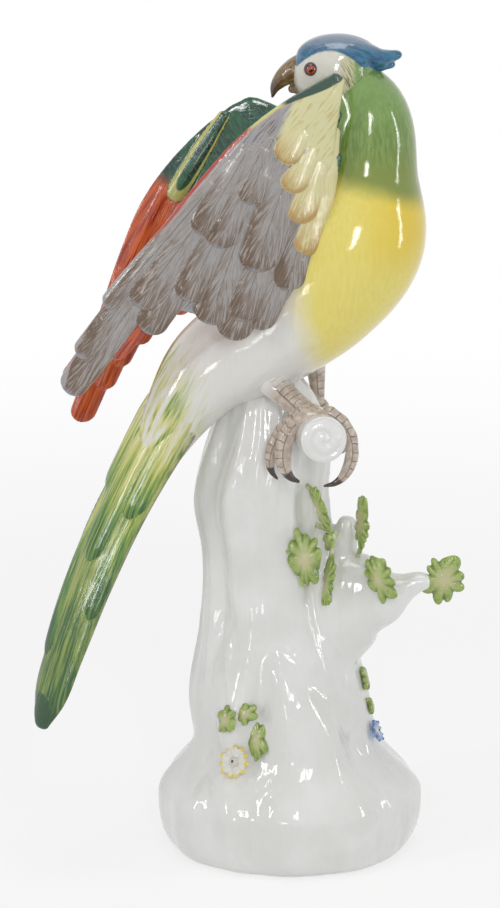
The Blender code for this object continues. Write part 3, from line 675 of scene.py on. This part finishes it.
def stumpPoint(height, turn, inset, look):
    shift, half = stumpShape(height, look)
    drift = height / 60
    flute = (0.5 * np.sin(5 * turn + drift) + 0.35 * np.sin(8 * turn - 0.8 * drift + 2)
             + 0.25 * np.sin(12 * turn + 0.5 * drift + 1))
    fold = np.sin(9 * turn + 0.7 * np.sin(height / 38) + 0.5)
    fine = 0.9 * (1 - 2 * np.abs(fold) ** 0.7) + 0.5 * np.sin(19 * turn + 0.9 * drift)
    fine = fine * smooth(40, 90, height)
    strength = look["fluteDepth"] * np.minimum(1, 0.35 + 0.65 * height / look["moundHeight"])
    radius = half * (1 + strength * flute) + fine * 0.5 - inset
    for deep, wide, path in look["valleys"]:
        middle = np.radians(through(path, height)[:, 0])
        away = half * turnAway(turn, middle)
        low, high = path[0][0], path[-1][0]
        ends = smooth(low - 12, low + 6, height) * (1 - smooth(high - 6, high + 16, height))
        radius -= deep * np.exp(-(away / wide) ** 2) * ends
    for degrees, wide, swelling in look["roots"]:
        away = np.degrees(turnAway(turn, math.radians(degrees)))
        radius += swelling * np.exp(-(away / wide) ** 2) * smooth(104, 52, height) * smooth(24, 44, height)
    return np.column_stack([shift + radius * np.cos(turn),
                            look["depthRatio"] * radius * np.sin(turn), height])


def addStump(look):
    def place(share, turn):
        top, hollow = look["trunkHeight"], look["hollowHeight"]
        # outside from the top down, over the foot's rim, and up the inside
        down = np.interp(share, [0, 0.04, 0.60, 1], [top, top, 0, 0])
        up = np.interp(share, [0, 0.64, 0.96, 1], [0, 0, hollow - 6, hollow])
        outside = share < 0.62
        height = np.where(outside, down, up)
        rim = np.interp(share, [0.60, 0.64], [0, 1]) * look["footRim"]
        wall = np.maximum(look["wall"], mix(look["footRim"], look["wall"], height / 23))
        inset = np.where(share < 0.64, rim, wall)
        points = stumpPoint(height, turn, inset, look)
        shift, _ = stumpShape(height, look)
        close = np.clip(share / 0.04, 0, 1) * np.clip((1 - share) / 0.04, 0, 1)
        close = np.sqrt(1 - (1 - close) ** 2)
        points[:, 0] = shift + (points[:, 0] - shift) * close
        points[:, 1] *= close
        return points, {}
    return ballForm("trunk", place, 128, 260)


perchSettings = {
    # depth, radius; the axis rises towards the viewer's end
    "stations": [(24, 5.6), (9.6, 7), (-6, 8.6), (-20, 8.9), (-31, 8.7), (-40.5, 8.6), (-46.0, 8.6)],
    "front": 46.5,
    "spiralTurns": 2.0,
    "spiralDepth": 0.7,
    "voxel": 0.35,
}


def perchCentre(y):
    toFront = max(0.0, -y) / perchSettings["front"]
    return np.array((5 + 7 * toFront, y, perchHeight - 2 + 5 * toFront))


def addPerch(look):
    stations = [(*perchCentre(y), radius) for y, radius in look["stations"]]
    return tube("perch", stations, across=(1, 0, 0), ends=(0.6, 0.22), segments=64, rings=60)


branchSettings = {
    "height": 102.5,
    "reach": 52.0,
    # share of the reach, rise, half height, half depth
    "stations": [(0.20, -8.1, 28, 17), (0.42, -3.4, 21.8, 15), (0.587, -0.9, 16.8, 12.5),
                 (0.70, -0.2, 11.4, 10), (0.80, 2.2, 7.2, 8), (0.86, 3.8, 5.2, 6.2),
                 (0.94, 5.8, 4.1, 4.4), (1, 6.3, 3.3, 3.4)],
    "knot": [(19, -4, 14, 6.6), (21, -4, 23, 5.0), (22, -4, 28.6, 3.6)],
}


def addBranch(look):
    rows = [(look["reach"] * share, -10 * share, look["height"] + rise, high, deep)
            for share, rise, high, deep in look["stations"]]
    knot = [(x, y, look["height"] + z, radius) for x, y, z, radius in look["knot"]]
    return [tube("branch", rows, across=(0, 0, 1), ends=(0.5, 0.6), segments=48),
            tube("knot", knot, ends=(1, 0.5), rings=24)]


fuse("stump", [addStump(stumpSettings), *addBranch(branchSettings)], stumpSettings["voxel"],
     makeWhiteGlaze())


def carveSpiral(piece, look):
    # a soft groove winds in from the rim of the perch's cut end
    spots = readRows(piece.data.vertices, "co")
    turned = readRows(piece.data.vertices, "normal")
    centre = (perchCentre(-look["front"]) + stumpAxis) / 1000
    radius = look["stations"][-1][1]
    across, high = spots[:, 0] - centre[0], spots[:, 2] - centre[2]
    away = np.hypot(across, high) * 1000 / radius
    turn = np.arctan2(high, across) / (2 * math.pi)
    wound = np.cos(2 * math.pi * (away * look["spiralTurns"] - turn))
    facing = smooth(0.5, 0.95, -turned[:, 1]) * smooth(1.0, 0.85, away)
    spots[:, 1] += look["spiralDepth"] / 1000 * (0.5 - 0.5 * wound) ** 2 * facing
    piece.data.vertices.foreach_set("co", spots.ravel())
    piece.data.update()


perch = fuse("perch", [addPerch(perchSettings)], perchSettings["voxel"],
             bpy.data.materials["whiteGlaze"], 2)
carveSpiral(perch, perchSettings)


# Bird's body, neck and head

bodySettings = {
    # x, y, z above the perch, radius
    "stations": [(18, 5, 132, 8.5), (26.6, 5, 117, 16.2), (27.2, 4, 92, 20.8), (24, 0, 70, 27),
                 (9.2, -2, 51.5, 27.4), (-10.7, -6, 33, 21.9), (-30.5, -10, 20.5, 17.5),
                 (-43, -14, 4, 12.6), (-49.5, -16.2, -9, 9.2), (-55.5, -19.2, -26, 5.2)],
    "depthRatio": 0.96,
    "voxel": 0.85,
}
headSettings = {
    "centre": (15.8, 5, 131),
    "radii": (15.4, 13.0, 13.6),
    # place from the head's centre, then radii
    "crown": ((1.5, 0, 5.6), (15.4, 11.5, 8.6)),
    # end from the head's centre, side of the brow, width, thickness
    "crests": [((22.4, -1, 6.2), -2, 15, 3.9), ((20.4, 0, 2.6), 2, 13, 3.2)],
    "beakLength": 17.0,
    # share of the length, height, radius
    "upperBeak": [(0.15, 2.5, 5.6), (-0.08, 0.5, 5.2), (-0.34, -2.8, 3.9), (-0.5, -6.4, 2.2),
                  (-0.55, -9.4, 0.7)],
    "lowerBeak": [(0.2, -5.2, 4.2), (0, -6, 3.2), (-0.14, -6.8, 1.5)],
    "eye": (-8.6, 10.1, 2.6),
    "eyeRadius": 2.6,
    "voxel": 0.5,
    "beakVoxel": 0.3,
    "eyeVoxel": 0.2,
}


def addBody(look):
    rows = [(*bird(x, y, z), radius * look["depthRatio"], radius) for x, y, z, radius in look["stations"]]
    return tube("birdBody", rows, ends=(0.6, 0.6), segments=96, rings=120)


def addHead(look):
    centre = bird(*look["centre"])
    place, radii = look["crown"]
    forms = [oval("skull", centre, look["radii"]), oval("crown", centre + place, radii)]
    for tip, side, width, thick in look["crests"]:
        brow = centre + (-8, 0, 5.5) + np.array((0, side, 1.5))
        end = centre + tip
        middle = mix(brow, end, 0.5) + (0, 0, 2.6)
        late = mix(brow, end, 0.84) + (0, 0, -0.9)
        half = width / 2
        forms.append(tube("crest", [(*brow, half * 0.7, thick * 0.8), (*middle, half, thick),
                                    (*late, half * 0.72, thick * 0.86), (*end, half * 0.42, thick * 0.52)]))
    return forms


fuse("birdBody", [addBody(bodySettings)], bodySettings["voxel"], makeBodyPaint())
fuse("head", addHead(headSettings), headSettings["voxel"], makeHeadPaint())


def addBeak(look):
    length = look["beakLength"]
    base = bird(*look["centre"]) + (-15.8 + 0.15 * length, 1, 0)
    upper, lower = [[(base[0] + x * length, base[1], base[2] + z, radius) for x, z, radius in look[name]]
                    for name in ("upperBeak", "lowerBeak")]
    return [tube("upperBeak", upper, ends=(0.5, 1), flat=0.85),
            tube("lowerBeak", lower, ends=(0.5, 0.8), rings=32)]


fuse("beak", addBeak(headSettings), headSettings["beakVoxel"], makeBeakPaint(), 2)


def addEyes(look):
    centre = bird(*look["centre"])
    x, y, z = look["eye"]
    return [oval("eye", centre + (x, side * y, z), (look["eyeRadius"],) * 3, 24, 16) for side in (-1, 1)]


fuse("eyes", addEyes(headSettings), headSettings["eyeVoxel"], makeEyePaint(), 1)


# Feet

feetSettings = {
    # x, y, z above the perch, radius
    "nearLeg": [(-17, -9, 31, 9), (-10, -14.5, 21.5, 7.6), (-4, -20, 15.4, 5.2), (1, -26, 12, 4.4),
                (5.5, -31.5, 9.6, 4.5), (9.5, -35.5, 8.2, 4.2)],
    "farLeg": [(8.5, 9, 30, 5.6), (9.5, 9.3, 20, 4.2), (10.2, 9.5, 12, 3.2), (10.8, 9.5, 4, 2.4)],
    "pads": [((7.5, -36, 8.6), (7, 4.5, 3.6)), ((8, 9.5, 5), (4, 4, 3))],
    # depth of the foot, then for each toe: offset, start and end angle, reach at start, spread, radius
    "nearToes": (-33, [(-3, 128, 247, 9.4, 12.6, 3.2), (4.2, 130, 231, 9.6, 16.0, 2.6),
                       (-2, 62, -84, 9.0, 13.4, 2.5), (4, 60, -50, 9.4, 3.0, 2.3)]),
    "farToes": (10, [(-3, 70, -40, 8, 2, 2.0), (4, 70, -45, 8, 2, 2.0), (-2.5, 110, 205, 8, 2, 2.0),
                     (4, 112, 215, 8, 2, 2.0)]),
    "toeSteps": 14,
    "knuckles": 0.07,
    "clawStart": 0.82,
    "hook": 2.8,
    "voxel": 0.4,
}


def addToe(look, depth, offset, start, end, grip, spread, thick):
    # a toe turns round the perch's axis, then its claw hooks back towards the perch
    centre = perchCentre(depth + offset)
    rows = []
    for number in range(look["toeSteps"] + 1):
        share = number / look["toeSteps"]
        claw = max(0.0, share - look["clawStart"]) / (1 - look["clawStart"])
        turn = math.radians(mix(start, end, share))
        reach = grip + spread * share ** 2 - look["hook"] * claw ** 2
        knuckle = 1 + look["knuckles"] * math.cos(share * math.pi * 9)
        radius = thick * mix(1.1, 0.92, share) * (knuckle if claw == 0 else mix(0.82, 0.22, claw))
        rows.append((centre[0] + reach * math.cos(turn), centre[1] - offset * 0.5 * (1 - share),
                     centre[2] + reach * math.sin(turn), radius))
    across = (0, 1, 0) if end > start else (0, -1, 0)
    return tube("toe", rows, across=across, ends=(1, 0.8), rings=84, kind=1)


def addFeet(look):
    forms = [oval("pad", bird(*place), radii, 32, 20, {"barb": (0.1, 0, 1), "seat": (0, 0.6, 0)})
             for place, radii in look["pads"]]
    for name in ("nearLeg", "farLeg"):
        rows = [(*bird(x, y, z), radius) for x, y, z, radius in look[name]]
        forms.append(tube(name, rows, ends=(0.6, 0.8), segments=32))
    for name in ("nearToes", "farToes"):
        depth, toes = look[name]
        forms += [addToe(look, depth, *toe) for toe in toes]
    return forms


fuse("feet", addFeet(feetSettings), feetSettings["voxel"], makeFeetPaint(), 2)


# Wings: a bowed sheet, with feathers laid on both faces

nearWing = {
    "shoulder": bird(15, 0, 125),
    "length": 144.0,
    "slope": 47.2,
    "side": -1,
    "thickness": 3.6,
    # share of the length, leading edge, trailing edge
    "outline": [(-0.045, 6, 0), (0.07, 13, -11), (0.21, 17.6, -26), (0.35, 18, -34), (0.49, 16.8, -37),
                (0.58, 16, -28), (0.65, 15, -8), (0.80, 12, -1.5), (0.93, 6.5, -2), (0.995, 1.6, -1.2)],
    # root along and across, tip along and across, width, lift at root and tip, kind
    # (outer face: 1 grey, -1 cream; inner face: 1 red, -1 teal, -2 teal with a yellow rim)
    "outer": [(58, 10, 144.6, -0.6, 11.5, 0.0, 0.7, 1), (50, 13, 131, 5.4, 9.5, 0.2, 1.1, 1),
              (40, 13.5, 110, 11.0, 8.5, 0.3, 1.3, 1), (48, 5, 107, -5.6, 13, 0.2, 1.3, 1),
              (46, 10, 101.5, 3.4, 12.5, 0.5, 1.9, 1), (45, -16, 89, -30.5, 15, 0.1, 1.2, 1),
              (42, -22, 80, -36, 13, 0.0, 0.8, 1), (42, 0, 89.5, -20.6, 16, 0.2, 2.0, 1),
              (44, -13, 81, -28.4, 13.5, 0.4, 2.2, 1), (46, 4, 88, -8, 12.5, 0.6, 2.4, 1),
              (28, -16, 62, -35.0, 14, 0.2, 1.9, 1), (33, 12, 66.5, 4.8, 11, 0.8, 2.7, 1),
              (30, 8, 66, -3.0, 12.5, 0.9, 3.0, 1), (22, -2, 64, -20, 16, 0.6, 3.0, 1),
              (21, 8.5, 47, -1.0, 12, -0.6, 3.0, 1), (10, -8, 48, -31.5, 14, -1.7, 2.3, -1),
              (8, -5, 41, -21, 13, -1.7, 2.6, -1), (6, -2, 34.5, -10.5, 12, -1.7, 2.7, -1),
              (4, 3, 28, -1.0, 11.5, -1.7, 2.6, -1)],
    "inner": [(60, 9, 143, 0, 12, 0.0, 0.6, 1), (52, 5, 124, -2, 12, 0.2, 1.0, 1),
              (50, 0, 108, -3, 12, 0.4, 1.4, 1), (48, -7, 96, -7, 12, 0.6, 1.8, 1),
              (46, -15, 88, -18, 13, 0.4, 1.5, 1), (42, -21, 82, -27, 13, 0.3, 1.2, 1),
              (40, -26, 76, -34, 12, 0.0, 0.9, 1), (18, 12, 52, 10, 8, 0.6, 2.0, -2),
              (20, 2, 50, -1, 12, 0.4, 2.2, -1), (18, -8, 50, -14, 13, 0.4, 2.0, -1),
              (16, -15, 48, -27, 13, 0.2, 1.7, -1), (4, 6, 32, 4, 13, 0.4, 2.4, -1),
              (4, -4, 32, -10, 13, 0.4, 2.5, -1)],
    "voxel": 0.5,
}
farWing = {
    "shoulder": bird(2, 0, 101),
    "length": 135.0,
    "slope": 52.5,
    "side": 1,
    "thickness": 3.6,
    "outline": [(-0.05, 12, -8), (-0.03, 20, -13), (0.02, 25.5, -15.5), (0.08, 28, -16.5),
                (0.20, 31, -18), (0.40, 31.5, -19), (0.53, 28, -15), (0.63, 25, -1),
                (0.76, 20, 2), (0.88, 13.5, -0.5), (0.96, 8, -1.2), (0.995, 2.2, -0.8)],
    "outer": [(50, 16, 126, 3, 9, 0.0, 0.7, 1), (44, 18, 115, 6, 11, 0.2, 1.1, 1),
              (40, 21, 100, 12, 10, 0.4, 1.5, 1), (48, 10, 108, 8, 11, 0.4, 1.4, 1),
              (44, 4, 92, 6, 11, 0.6, 1.7, 1), (40, -3, 74, -1, 12, 0.4, 1.5, 1),
              (28, 20, 64, 17, 12, 0.6, 2.2, 1), (26, 12, 64, 10, 14, 0.7, 2.5, 1),
              (24, 0, 62, -6, 14, 0.6, 2.3, 1), (6, 17, 40, 18, 12, -0.2, 2.5, -1),
              (4, 10, 38, 8, 14, -0.2, 2.6, -1), (2, -2, 36, -8, 14, -0.2, 2.4, -1)],
    "inner": [(50, 22, 136, 0, 11, 0.0, 0.7, 1), (48, 18.5, 121.5, 0.8, 10.5, 0.4, 1.3, 1),
              (46, 14, 111, 1.2, 9.8, 0.6, 1.8, 1), (44, 9, 100, 0.4, 9.8, 0.8, 2.2, 1),
              (46, 27, 104, 14, 8, 0.2, 1.0, 1), (40, 6, 66, 2, 10, 0.6, 1.8, 1),
              (10, 26.5, 48, 22.6, 7.6, 0.2, 1.5, -2), (6, 12, 42, 11, 14, 0.2, 1.2, -1),
              (2, -4, 40, -9, 14, 0.2, 1.2, -1)],
    "voxel": 0.5,
}
wingFeather = {
    # share of the length, share of the width
    "outline": [(-0.2, 0.5), (0.0, 0.6), (0.45, 0.97), (0.75, 1.0), (1.0, 0.9)],
    "thickness": 2.4,
}


def wingPlace(wing, along, across, out):
    slope = math.radians(wing["slope"])
    axis = np.array((-math.cos(slope), 0, -math.sin(slope)))
    rise = np.array((-math.sin(slope), 0, math.cos(slope)))
    share = along / wing["length"]
    if wing["side"] < 0:
        bow = 41.5 - 24 * ((98 * share + 0.73 * across - 67) / 67) ** 2
    else:
        bow = 38 - 17 * ((82 * share + 0.79 * across - 47) / 47) ** 2 - 9 * share + 0.06 * across
    points = wing["shoulder"] + axis * along[:, None] + rise * across[:, None]
    points[:, 1] += wing["side"] * (bow + out)
    return points


def addWingSheet(wing):
    def place(share, turn):
        along, cap = cappedShare(share, 0.01, 0.01)
        first, last = wing["outline"][0][0], wing["outline"][-1][0]
        key = mix(first, last, np.clip(along, 0, 1))
        edges = through(wing["outline"], key)
        edges[:, 0] -= 2.4 * smooth(0.45, 0.75, key)
        middle, half = (edges[:, 0] + edges[:, 1]) / 2, (edges[:, 0] - edges[:, 1]) / 2
        across = middle + half * np.cos(turn) * cap
        out = wing["thickness"] / 2 * puffed(turn, 0.6) * cap
        alongMm = (key + (along - np.clip(along, 0, 1))) * wing["length"]
        side = np.sign(out)
        return wingPlace(wing, alongMm, across, out), {
            "quill": (alongMm, across, 0.5), "barb": (key, np.cos(turn) * cap, 0),
            "seat": (key, edges[:, 0] - across, side)}
    return ballForm("wingSheet", place, 96, 120)


def addWingFeather(wing, face, row, tone):
    # one feather on a face of the wing: 1 is the outer face, -1 the inner
    root, tip = np.array(row[0:2], float), np.array(row[2:4], float)
    width, rootLift, tipLift, kind = row[4:]
    length = np.linalg.norm(tip - root)
    ahead = (tip - root) / length
    side = np.array((-ahead[1], ahead[0]))
    tipCap = 0.42 * width / length

    def place(share, turn):
        along, cap = cappedShare(share, 0.2 * width / length, tipCap)
        part = along / (1 + tipCap)
        wide = through(wingFeather["outline"], part)[:, 0] * width / 2
        across = wide * cap * np.cos(turn)
        arch = -0.5 * (across / (width / 2)) ** 2
        rise = wing["thickness"] / 2 - 1.0 + mix(rootLift, tipLift, np.clip(part, 0, 1) ** 1.2)
        out = face * (rise + arch * 1.7 + wingFeather["thickness"] / 2 * puffed(turn, 0.55) * cap)
        centre = root + (tip - root) * part[:, None]
        spot = centre + side * across[:, None]
        points = wingPlace(wing, spot[:, 0], spot[:, 1], out)
        leading = through(wing["outline"], spot[:, 0] / wing["length"])[:, 0]
        return points, {"quill": (part * length, across, tone), "barb": (part, cap * np.cos(turn), kind),
                        "seat": (spot[:, 0] / wing["length"], leading - spot[:, 1], face)}
    return ballForm("feather", place, 24, 56)


def addWing(wing, seed):
    tones = random.Random(seed)
    return [addWingSheet(wing)] + [addWingFeather(wing, face, row, tones.random())
                                   for name, face in (("outer", 1), ("inner", -1)) for row in wing[name]]


wingPaint = makeWingPaint()
fuse("nearWing", addWing(nearWing, 3), nearWing["voxel"], wingPaint, 2)
fuse("farWing", addWing(farWing, 8), farWing["voxel"], wingPaint, 2)


# Tail

tailSettings = {
    "rump": bird(-33.5, -10, 20),
    "heading": (-0.41, -0.18, -0.89),
    "face": (-0.62, -0.74, 0.25),
    "length": 148.0,
    "width": 22.5,
    "thickness": 10.0,
    "sag": (-0.034, 0, 0.02),
    # share, fullness across, fullness through
    "core": [(0, 1.3, 2.4), (0.15, 1.12, 1.7), (0.35, 1, 1.2), (0.6, 0.92, 0.95), (0.8, 0.8, 0.8),
             (0.93, 0.62, 0.6), (0.985, 0.32, 0.35)],
    # start, end, place across, lift
    "feathers": [(0.45, 1, 0.02, 0.5), (0.20, 0.84, 0.26, 0.55), (0.10, 0.71, -0.27, 0.55),
                 (0.06, 0.56, 0.05, 0.95), (0.03, 0.42, -0.30, 0.85), (0.03, 0.38, 0.32, 0.85),
                 (0.12, 0.62, 0.36, -0.4), (0.3, 0.9, 0.12, -0.5)],
    "featherWidth": 10.5,
    # share of the feather's length, share of its width
    "featherOutline": [(-0.2, 0.6), (0, 0.7), (0.5, 1), (0.85, 0.95), (1, 0.8)],
    "voxel": 0.55,
}


def tailPlace(look, share, across, out):
    heading = unitVector(look["heading"])
    face = np.array(look["face"])
    face = unitVector(face - heading * face.dot(heading))
    wide = np.cross(heading, face)
    bend = np.array(look["sag"]) * look["length"]
    arc = np.sin(math.pi * np.clip(share, 0, 1))
    return (look["rump"] + heading * (share * look["length"])[:, None] + bend * arc[:, None]
            + wide * across[:, None] + face * out[:, None])


def addTailCore(look):
    def place(share, turn):
        along, cap = cappedShare(share, 0.03, 0.015)
        inside = np.clip(along, 0, 1) * 0.985
        full = through(look["core"], inside)
        across = full[:, 0] * look["width"] / 2 * cap * np.cos(turn)
        out = full[:, 1] * look["thickness"] / 2 * cap * np.sin(turn)
        spot = inside + (along - np.clip(along, 0, 1))
        return tailPlace(look, spot, across, out), {
            "quill": (spot * look["length"], across, 0.5), "barb": (spot, cap * np.cos(turn), 0),
            "seat": (spot, across, np.sign(out))}
    return ballForm("tailCore", place, 48, 140)


def addTailFeather(look, start, end, placed, lift, tone):
    length = (end - start) * look["length"]
    width = look["featherWidth"]
    tipCap = 0.8 * width / length

    def place(share, turn):
        along, cap = cappedShare(share, 0.3 * width / length, tipCap)
        part = along / (1 + tipCap)
        spot = mix(start, end, part)
        core = through(look["core"], np.clip(spot, 0, 0.985))
        wide = through(look["featherOutline"], part)[:, 0] * width / 2
        across = wide * cap * np.cos(turn)
        middle = placed * look["width"] * core[:, 0]
        outer = 2 * (middle + across) / (look["width"] * core[:, 0] * 1.25)
        edge = np.sqrt(np.clip(1 - outer ** 2, 0.05, 1))
        sunk = mix(0.45, 1.0, smooth(0, 0.4, part))
        out = lift * look["thickness"] / 2 * core[:, 1] * edge * sunk + 1.6 * puffed(turn, 0.6) * cap
        return tailPlace(look, spot, middle + across, out), {
            "quill": (part * length, across, tone), "barb": (part, cap * np.cos(turn), 1),
            "seat": (spot, middle + across, np.sign(out))}
    return ballForm("tailFeather", place, 28, 72)


def addTail(look):
    tones = random.Random(5)
    return [addTailCore(look)] + [addTailFeather(look, *row, tones.random()) for row in look["feathers"]]


fuse("tail", addTail(tailSettings), tailSettings["voxel"], makeTailPaint(), 2)


# Leaves with their stems

leafSettings = {
    "thickness": 2.2,
    # middle and long axis of each leaf in mm, heights above the branch, then the way it faces,
    # its width, lobes and bow
    "free": [((5.6, -24.5, 19.6), (-4, 4, 25), (-0.15, -1, 0.1), 14.5, 9, 1.6),
             ((11.5, -20, 37.8), (6.6, -1.5, -18.6), (-0.9, -0.5, 0.2), 8.5, 10, 0.6),
             ((14.6, -23, 10.4), (-2.6, -6, -23), (-0.88, -0.5, 0), 8.5, 12, 0.6),
             ((14.6, -19, 24.5), (1.0, 2, -9), (-0.7, -0.8, 0.1), 6, 6, 0.5),
             ((27.3, -11, 29.6), (1.0, 0, 27), (-0.85, -0.55, 0.1), 8.4, 12, 0.5),
             ((34.2, -18, 9.6), (7.5, -3, -21), (-0.45, -0.9, 0.1), 12.5, 8, 1.6),
             ((58.4, -9.6, 6.8), (1.5, -0.5, 21.8), (0.1, -1, 0.15), 18.6, 8, 1.3)],
    # stems from the bark to the leaves
    "stems": [((-6, -15, 22), (0, -22, 21)), ((4, -12, 47), (9, -19, 44)), ((8, -12, 30), (17, -19, 28)),
              ((17, -19, 28), (15, -21, 18)), ((25, -6, 12), (26.6, -10, 19)), ((28, -8, 10), (31, -16, 16)),
              ((49, -9, 7.5), (56, -9.6, 7))],
    "stemRadius": 1.1,
    # turn round the stump in degrees, height, length, width, lean in degrees, lobes
    "onBark": [(-121, 60, 12.5, 9.6, 20, 6), (-110, 62.5, 11.5, 9, 78, 6), (-106.5, 52, 19, 9, -10, 8),
               (-8, 68, 11.5, 7, 12, 6), (-10, 57.5, 8.5, 6, -15, 5)],
    "voxel": 0.35,
}


def addLeaf(middle, way, faced, width, lobes, bow, thickness, length=None):
    # a flat disc with a scalloped, beaded rim; way is the long axis, tip to tip
    middle, way = np.array(middle, float), np.array(way, float)
    length = length or np.linalg.norm(way)
    ahead, faced = unitVector(way), np.array(faced, float)
    faced = unitVector(faced - ahead * faced.dot(ahead))
    wide = np.cross(ahead, faced)

    def place(share, turn):
        rim = np.sin(share * math.pi) ** 0.8
        front = np.sign(share - 0.5) * np.abs(np.cos(share * math.pi)) ** 0.45
        around = turn + 0.22 * np.sin(2 * turn + middle[0]) + 0.14 * np.sin(3 * turn + middle[2])
        lobe = np.abs(np.sin(around * lobes / 2)) ** 0.55 if lobes else 1.0
        ragged = (1.04 - 0.08 * (1 + np.sin(5 * turn + middle[0]))
                  - 0.05 * (1 + np.sin(2 * turn + middle[1])))
        reach = rim * mix(0.68, 1.0, lobe) * (ragged if lobes else 1.0)
        along = length / 2 * reach * np.cos(turn)
        across = width / 2 * reach * np.sin(turn)
        groove = (0.95 * (1 - lobe) + 0.1) * rim ** 1.5
        out = (bow * (1 - rim ** 2) + front * (thickness / 2 - groove * 0.8)
               + 0.25 * np.sin(3 * turn) * rim ** 2)
        points = middle + ahead * along[:, None] + wide * across[:, None] + faced * out[:, None]
        return points, {"quill": (along, across, lobe), "barb": (rim, 0.5 + along / length, 1)}
    return ballForm("leaf", place, 112 if lobes else 32, 28)


def barkPoint(degrees, height, lift=0.0):
    turn = np.array([math.radians(degrees)])
    return stumpPoint(np.array([height], float), turn, -lift, stumpSettings)[0]


def barkWays(outward):
    # unit vectors out of the bark, then sideways and upward along it
    outward = unitVector(outward)
    sideways = unitVector(np.cross((0, 0, 1), outward))
    return outward, sideways, np.cross(outward, sideways)


def addLeaves(look):
    forms = []
    up = np.array((0, 0, branchSettings["height"]))
    radius = look["stemRadius"]
    for middle, way, faced, width, lobes, bow in look["free"]:
        forms.append(addLeaf(middle + up, way, faced, width, lobes, bow, look["thickness"]))
    for start, end in look["stems"]:
        start, end = start + up, end + up
        rows = [(*start, radius), (*mix(start, end, 0.5), radius * 0.9), (*end, radius * 0.8)]
        forms.append(tube("stem", rows, across=(0.3, 1, 0.2), segments=16, rings=24))
    for degrees, height, length, width, lean, lobes in look["onBark"]:
        middle = barkPoint(degrees, height, 0.5)
        outward, sideways, upward = barkWays(
            (middle[0] - stumpSettings["trunk"][0][1], middle[1], 8.0))
        lean = math.radians(lean)
        way = upward * math.cos(lean) + sideways * math.sin(lean)
        forms.append(addLeaf(middle, way, outward, width, lobes, 0.5, look["thickness"], length))
    return forms


fuse("leaves", addLeaves(leafSettings), leafSettings["voxel"], makeLeafPaint(), 1)


# Flowers

flowerSettings = {
    # turn round the stump, height, radius, petals
    "front": (-119, 43.5, 6.4, 11),
    "side": (-15, 48, 4.4, 9),
    "petalThickness": 1.5,
    "voxel": 0.25,
}


def addFlower(degrees, height, radius, petals):
    heart = barkPoint(degrees, height, 1.4)
    outward, sideways, upward = barkWays((heart[0], heart[1], 16.0))
    forms = [oval("heart", heart + outward * 0.2, (radius * 0.34,) * 3, 32, 20, {"barb": (0.5, 0, 2)}),
             oval("dot", heart + outward * (radius * 0.34 + 0.1), (0.55,) * 3, 16, 12, {"barb": (0.5, 0, 3)}),
             oval("cup", heart - outward * 1.8, (radius * 0.5,) * 3, 32, 20, {"barb": (0.5, 0, 0)})]
    for number in range(petals):
        turn = 2 * math.pi * number / petals
        way = sideways * math.cos(turn) + upward * math.sin(turn)
        middle = heart + way * radius * 0.62 + outward * (0.4 + 0.5 * (number % 2))
        ahead, faced = way + outward * 0.35, outward - way * 0.35
        forms.append(addLeaf(middle, ahead, faced, radius * 0.46, 0, 0.0,
                             flowerSettings["petalThickness"], radius * 0.84))
    return forms


fuse("frontFlower", addFlower(*flowerSettings["front"]), flowerSettings["voxel"],
     makeFlowerPaint("creamFlower", (0.75, 0.74, 0.68), (0.72, 0.60, 0.10)), 1)
fuse("sideFlower", addFlower(*flowerSettings["side"]), flowerSettings["voxel"],
     makeFlowerPaint("blueFlower", (0.40, 0.50, 0.68), (0.10, 0.20, 0.52)), 1)
print("pieces modelled")


# Studio

studioSettings = {
    # place, width, height, power in watts
    "lamps": {
        "frontBox": ((0.22, -1.55, 0.85), 0.14, 0.50, 4.2),
        "leftBox": ((-1.15, -0.85, 0.70), 0.10, 0.50, 3.4),
        "lowBox": ((-0.42, -1.55, 0.22), 0.16, 0.20, 0.8),
        "rightBox": ((1.35, -0.35, 0.45), 0.08, 0.75, 2.6),
        "topBox": ((0.0, -0.1, 1.45), 0.60, 0.60, 3.6),
    },
    "aim": (0, 0, 0.16),
    "world": 0.46,
    "floor": (0.93, 0.93, 0.93),
}


def addSoftbox(name, place, aim, width, height, power):
    place, aim = Vector(place), Vector(aim)
    bpy.ops.object.light_add(type="AREA", location=place)
    lamp = bpy.context.object
    lamp.name = name
    lamp.data.shape = "RECTANGLE"
    lamp.data.size = width
    lamp.data.size_y = height
    lamp.data.energy = power
    lamp.rotation_euler = (aim - place).to_track_quat("-Z", "Y").to_euler()


def addStudio(look):
    bpy.ops.mesh.primitive_plane_add(size=6)
    floor = bpy.context.object
    floor.name = "floor"
    bench = Bench("paleFloor")
    x, y, _ = bench.parts(bench.place())
    far = (x * x + y * y).math("SQRT").step(0.25, 0.9)
    lit = bench.node("ShaderNodeBsdfDiffuse", {}, {"Color": (*look["floor"], 1)})
    glow = bench.node("ShaderNodeEmission", {}, {"Color": (1, 1, 1, 1), "Strength": 1.0})
    share = (far * 0.28 + 0.72) * bench.seen()
    bench.finish(bench.node("ShaderNodeMixShader", {}, {0: share, 1: lit, 2: glow}))
    floor.data.materials.append(bench.material)
    for name, (place, width, height, power) in look["lamps"].items():
        addSoftbox(name, place, look["aim"], width, height, power)
    air = Bench("studioAir", world=True)
    light = air.node("ShaderNodeBackground", {}, {"Color": (1, 1, 1, 1), "Strength": look["world"]})
    white = air.node("ShaderNodeBackground", {}, {"Color": (1, 1, 1, 1), "Strength": 1.0})
    air.finish(air.node("ShaderNodeMixShader", {}, {0: air.seen(), 1: light, 2: white}))
    bpy.context.scene.world = air.material


addStudio(studioSettings)
bpy.context.scene.view_settings.view_transform = "Standard"
print("studio lit")
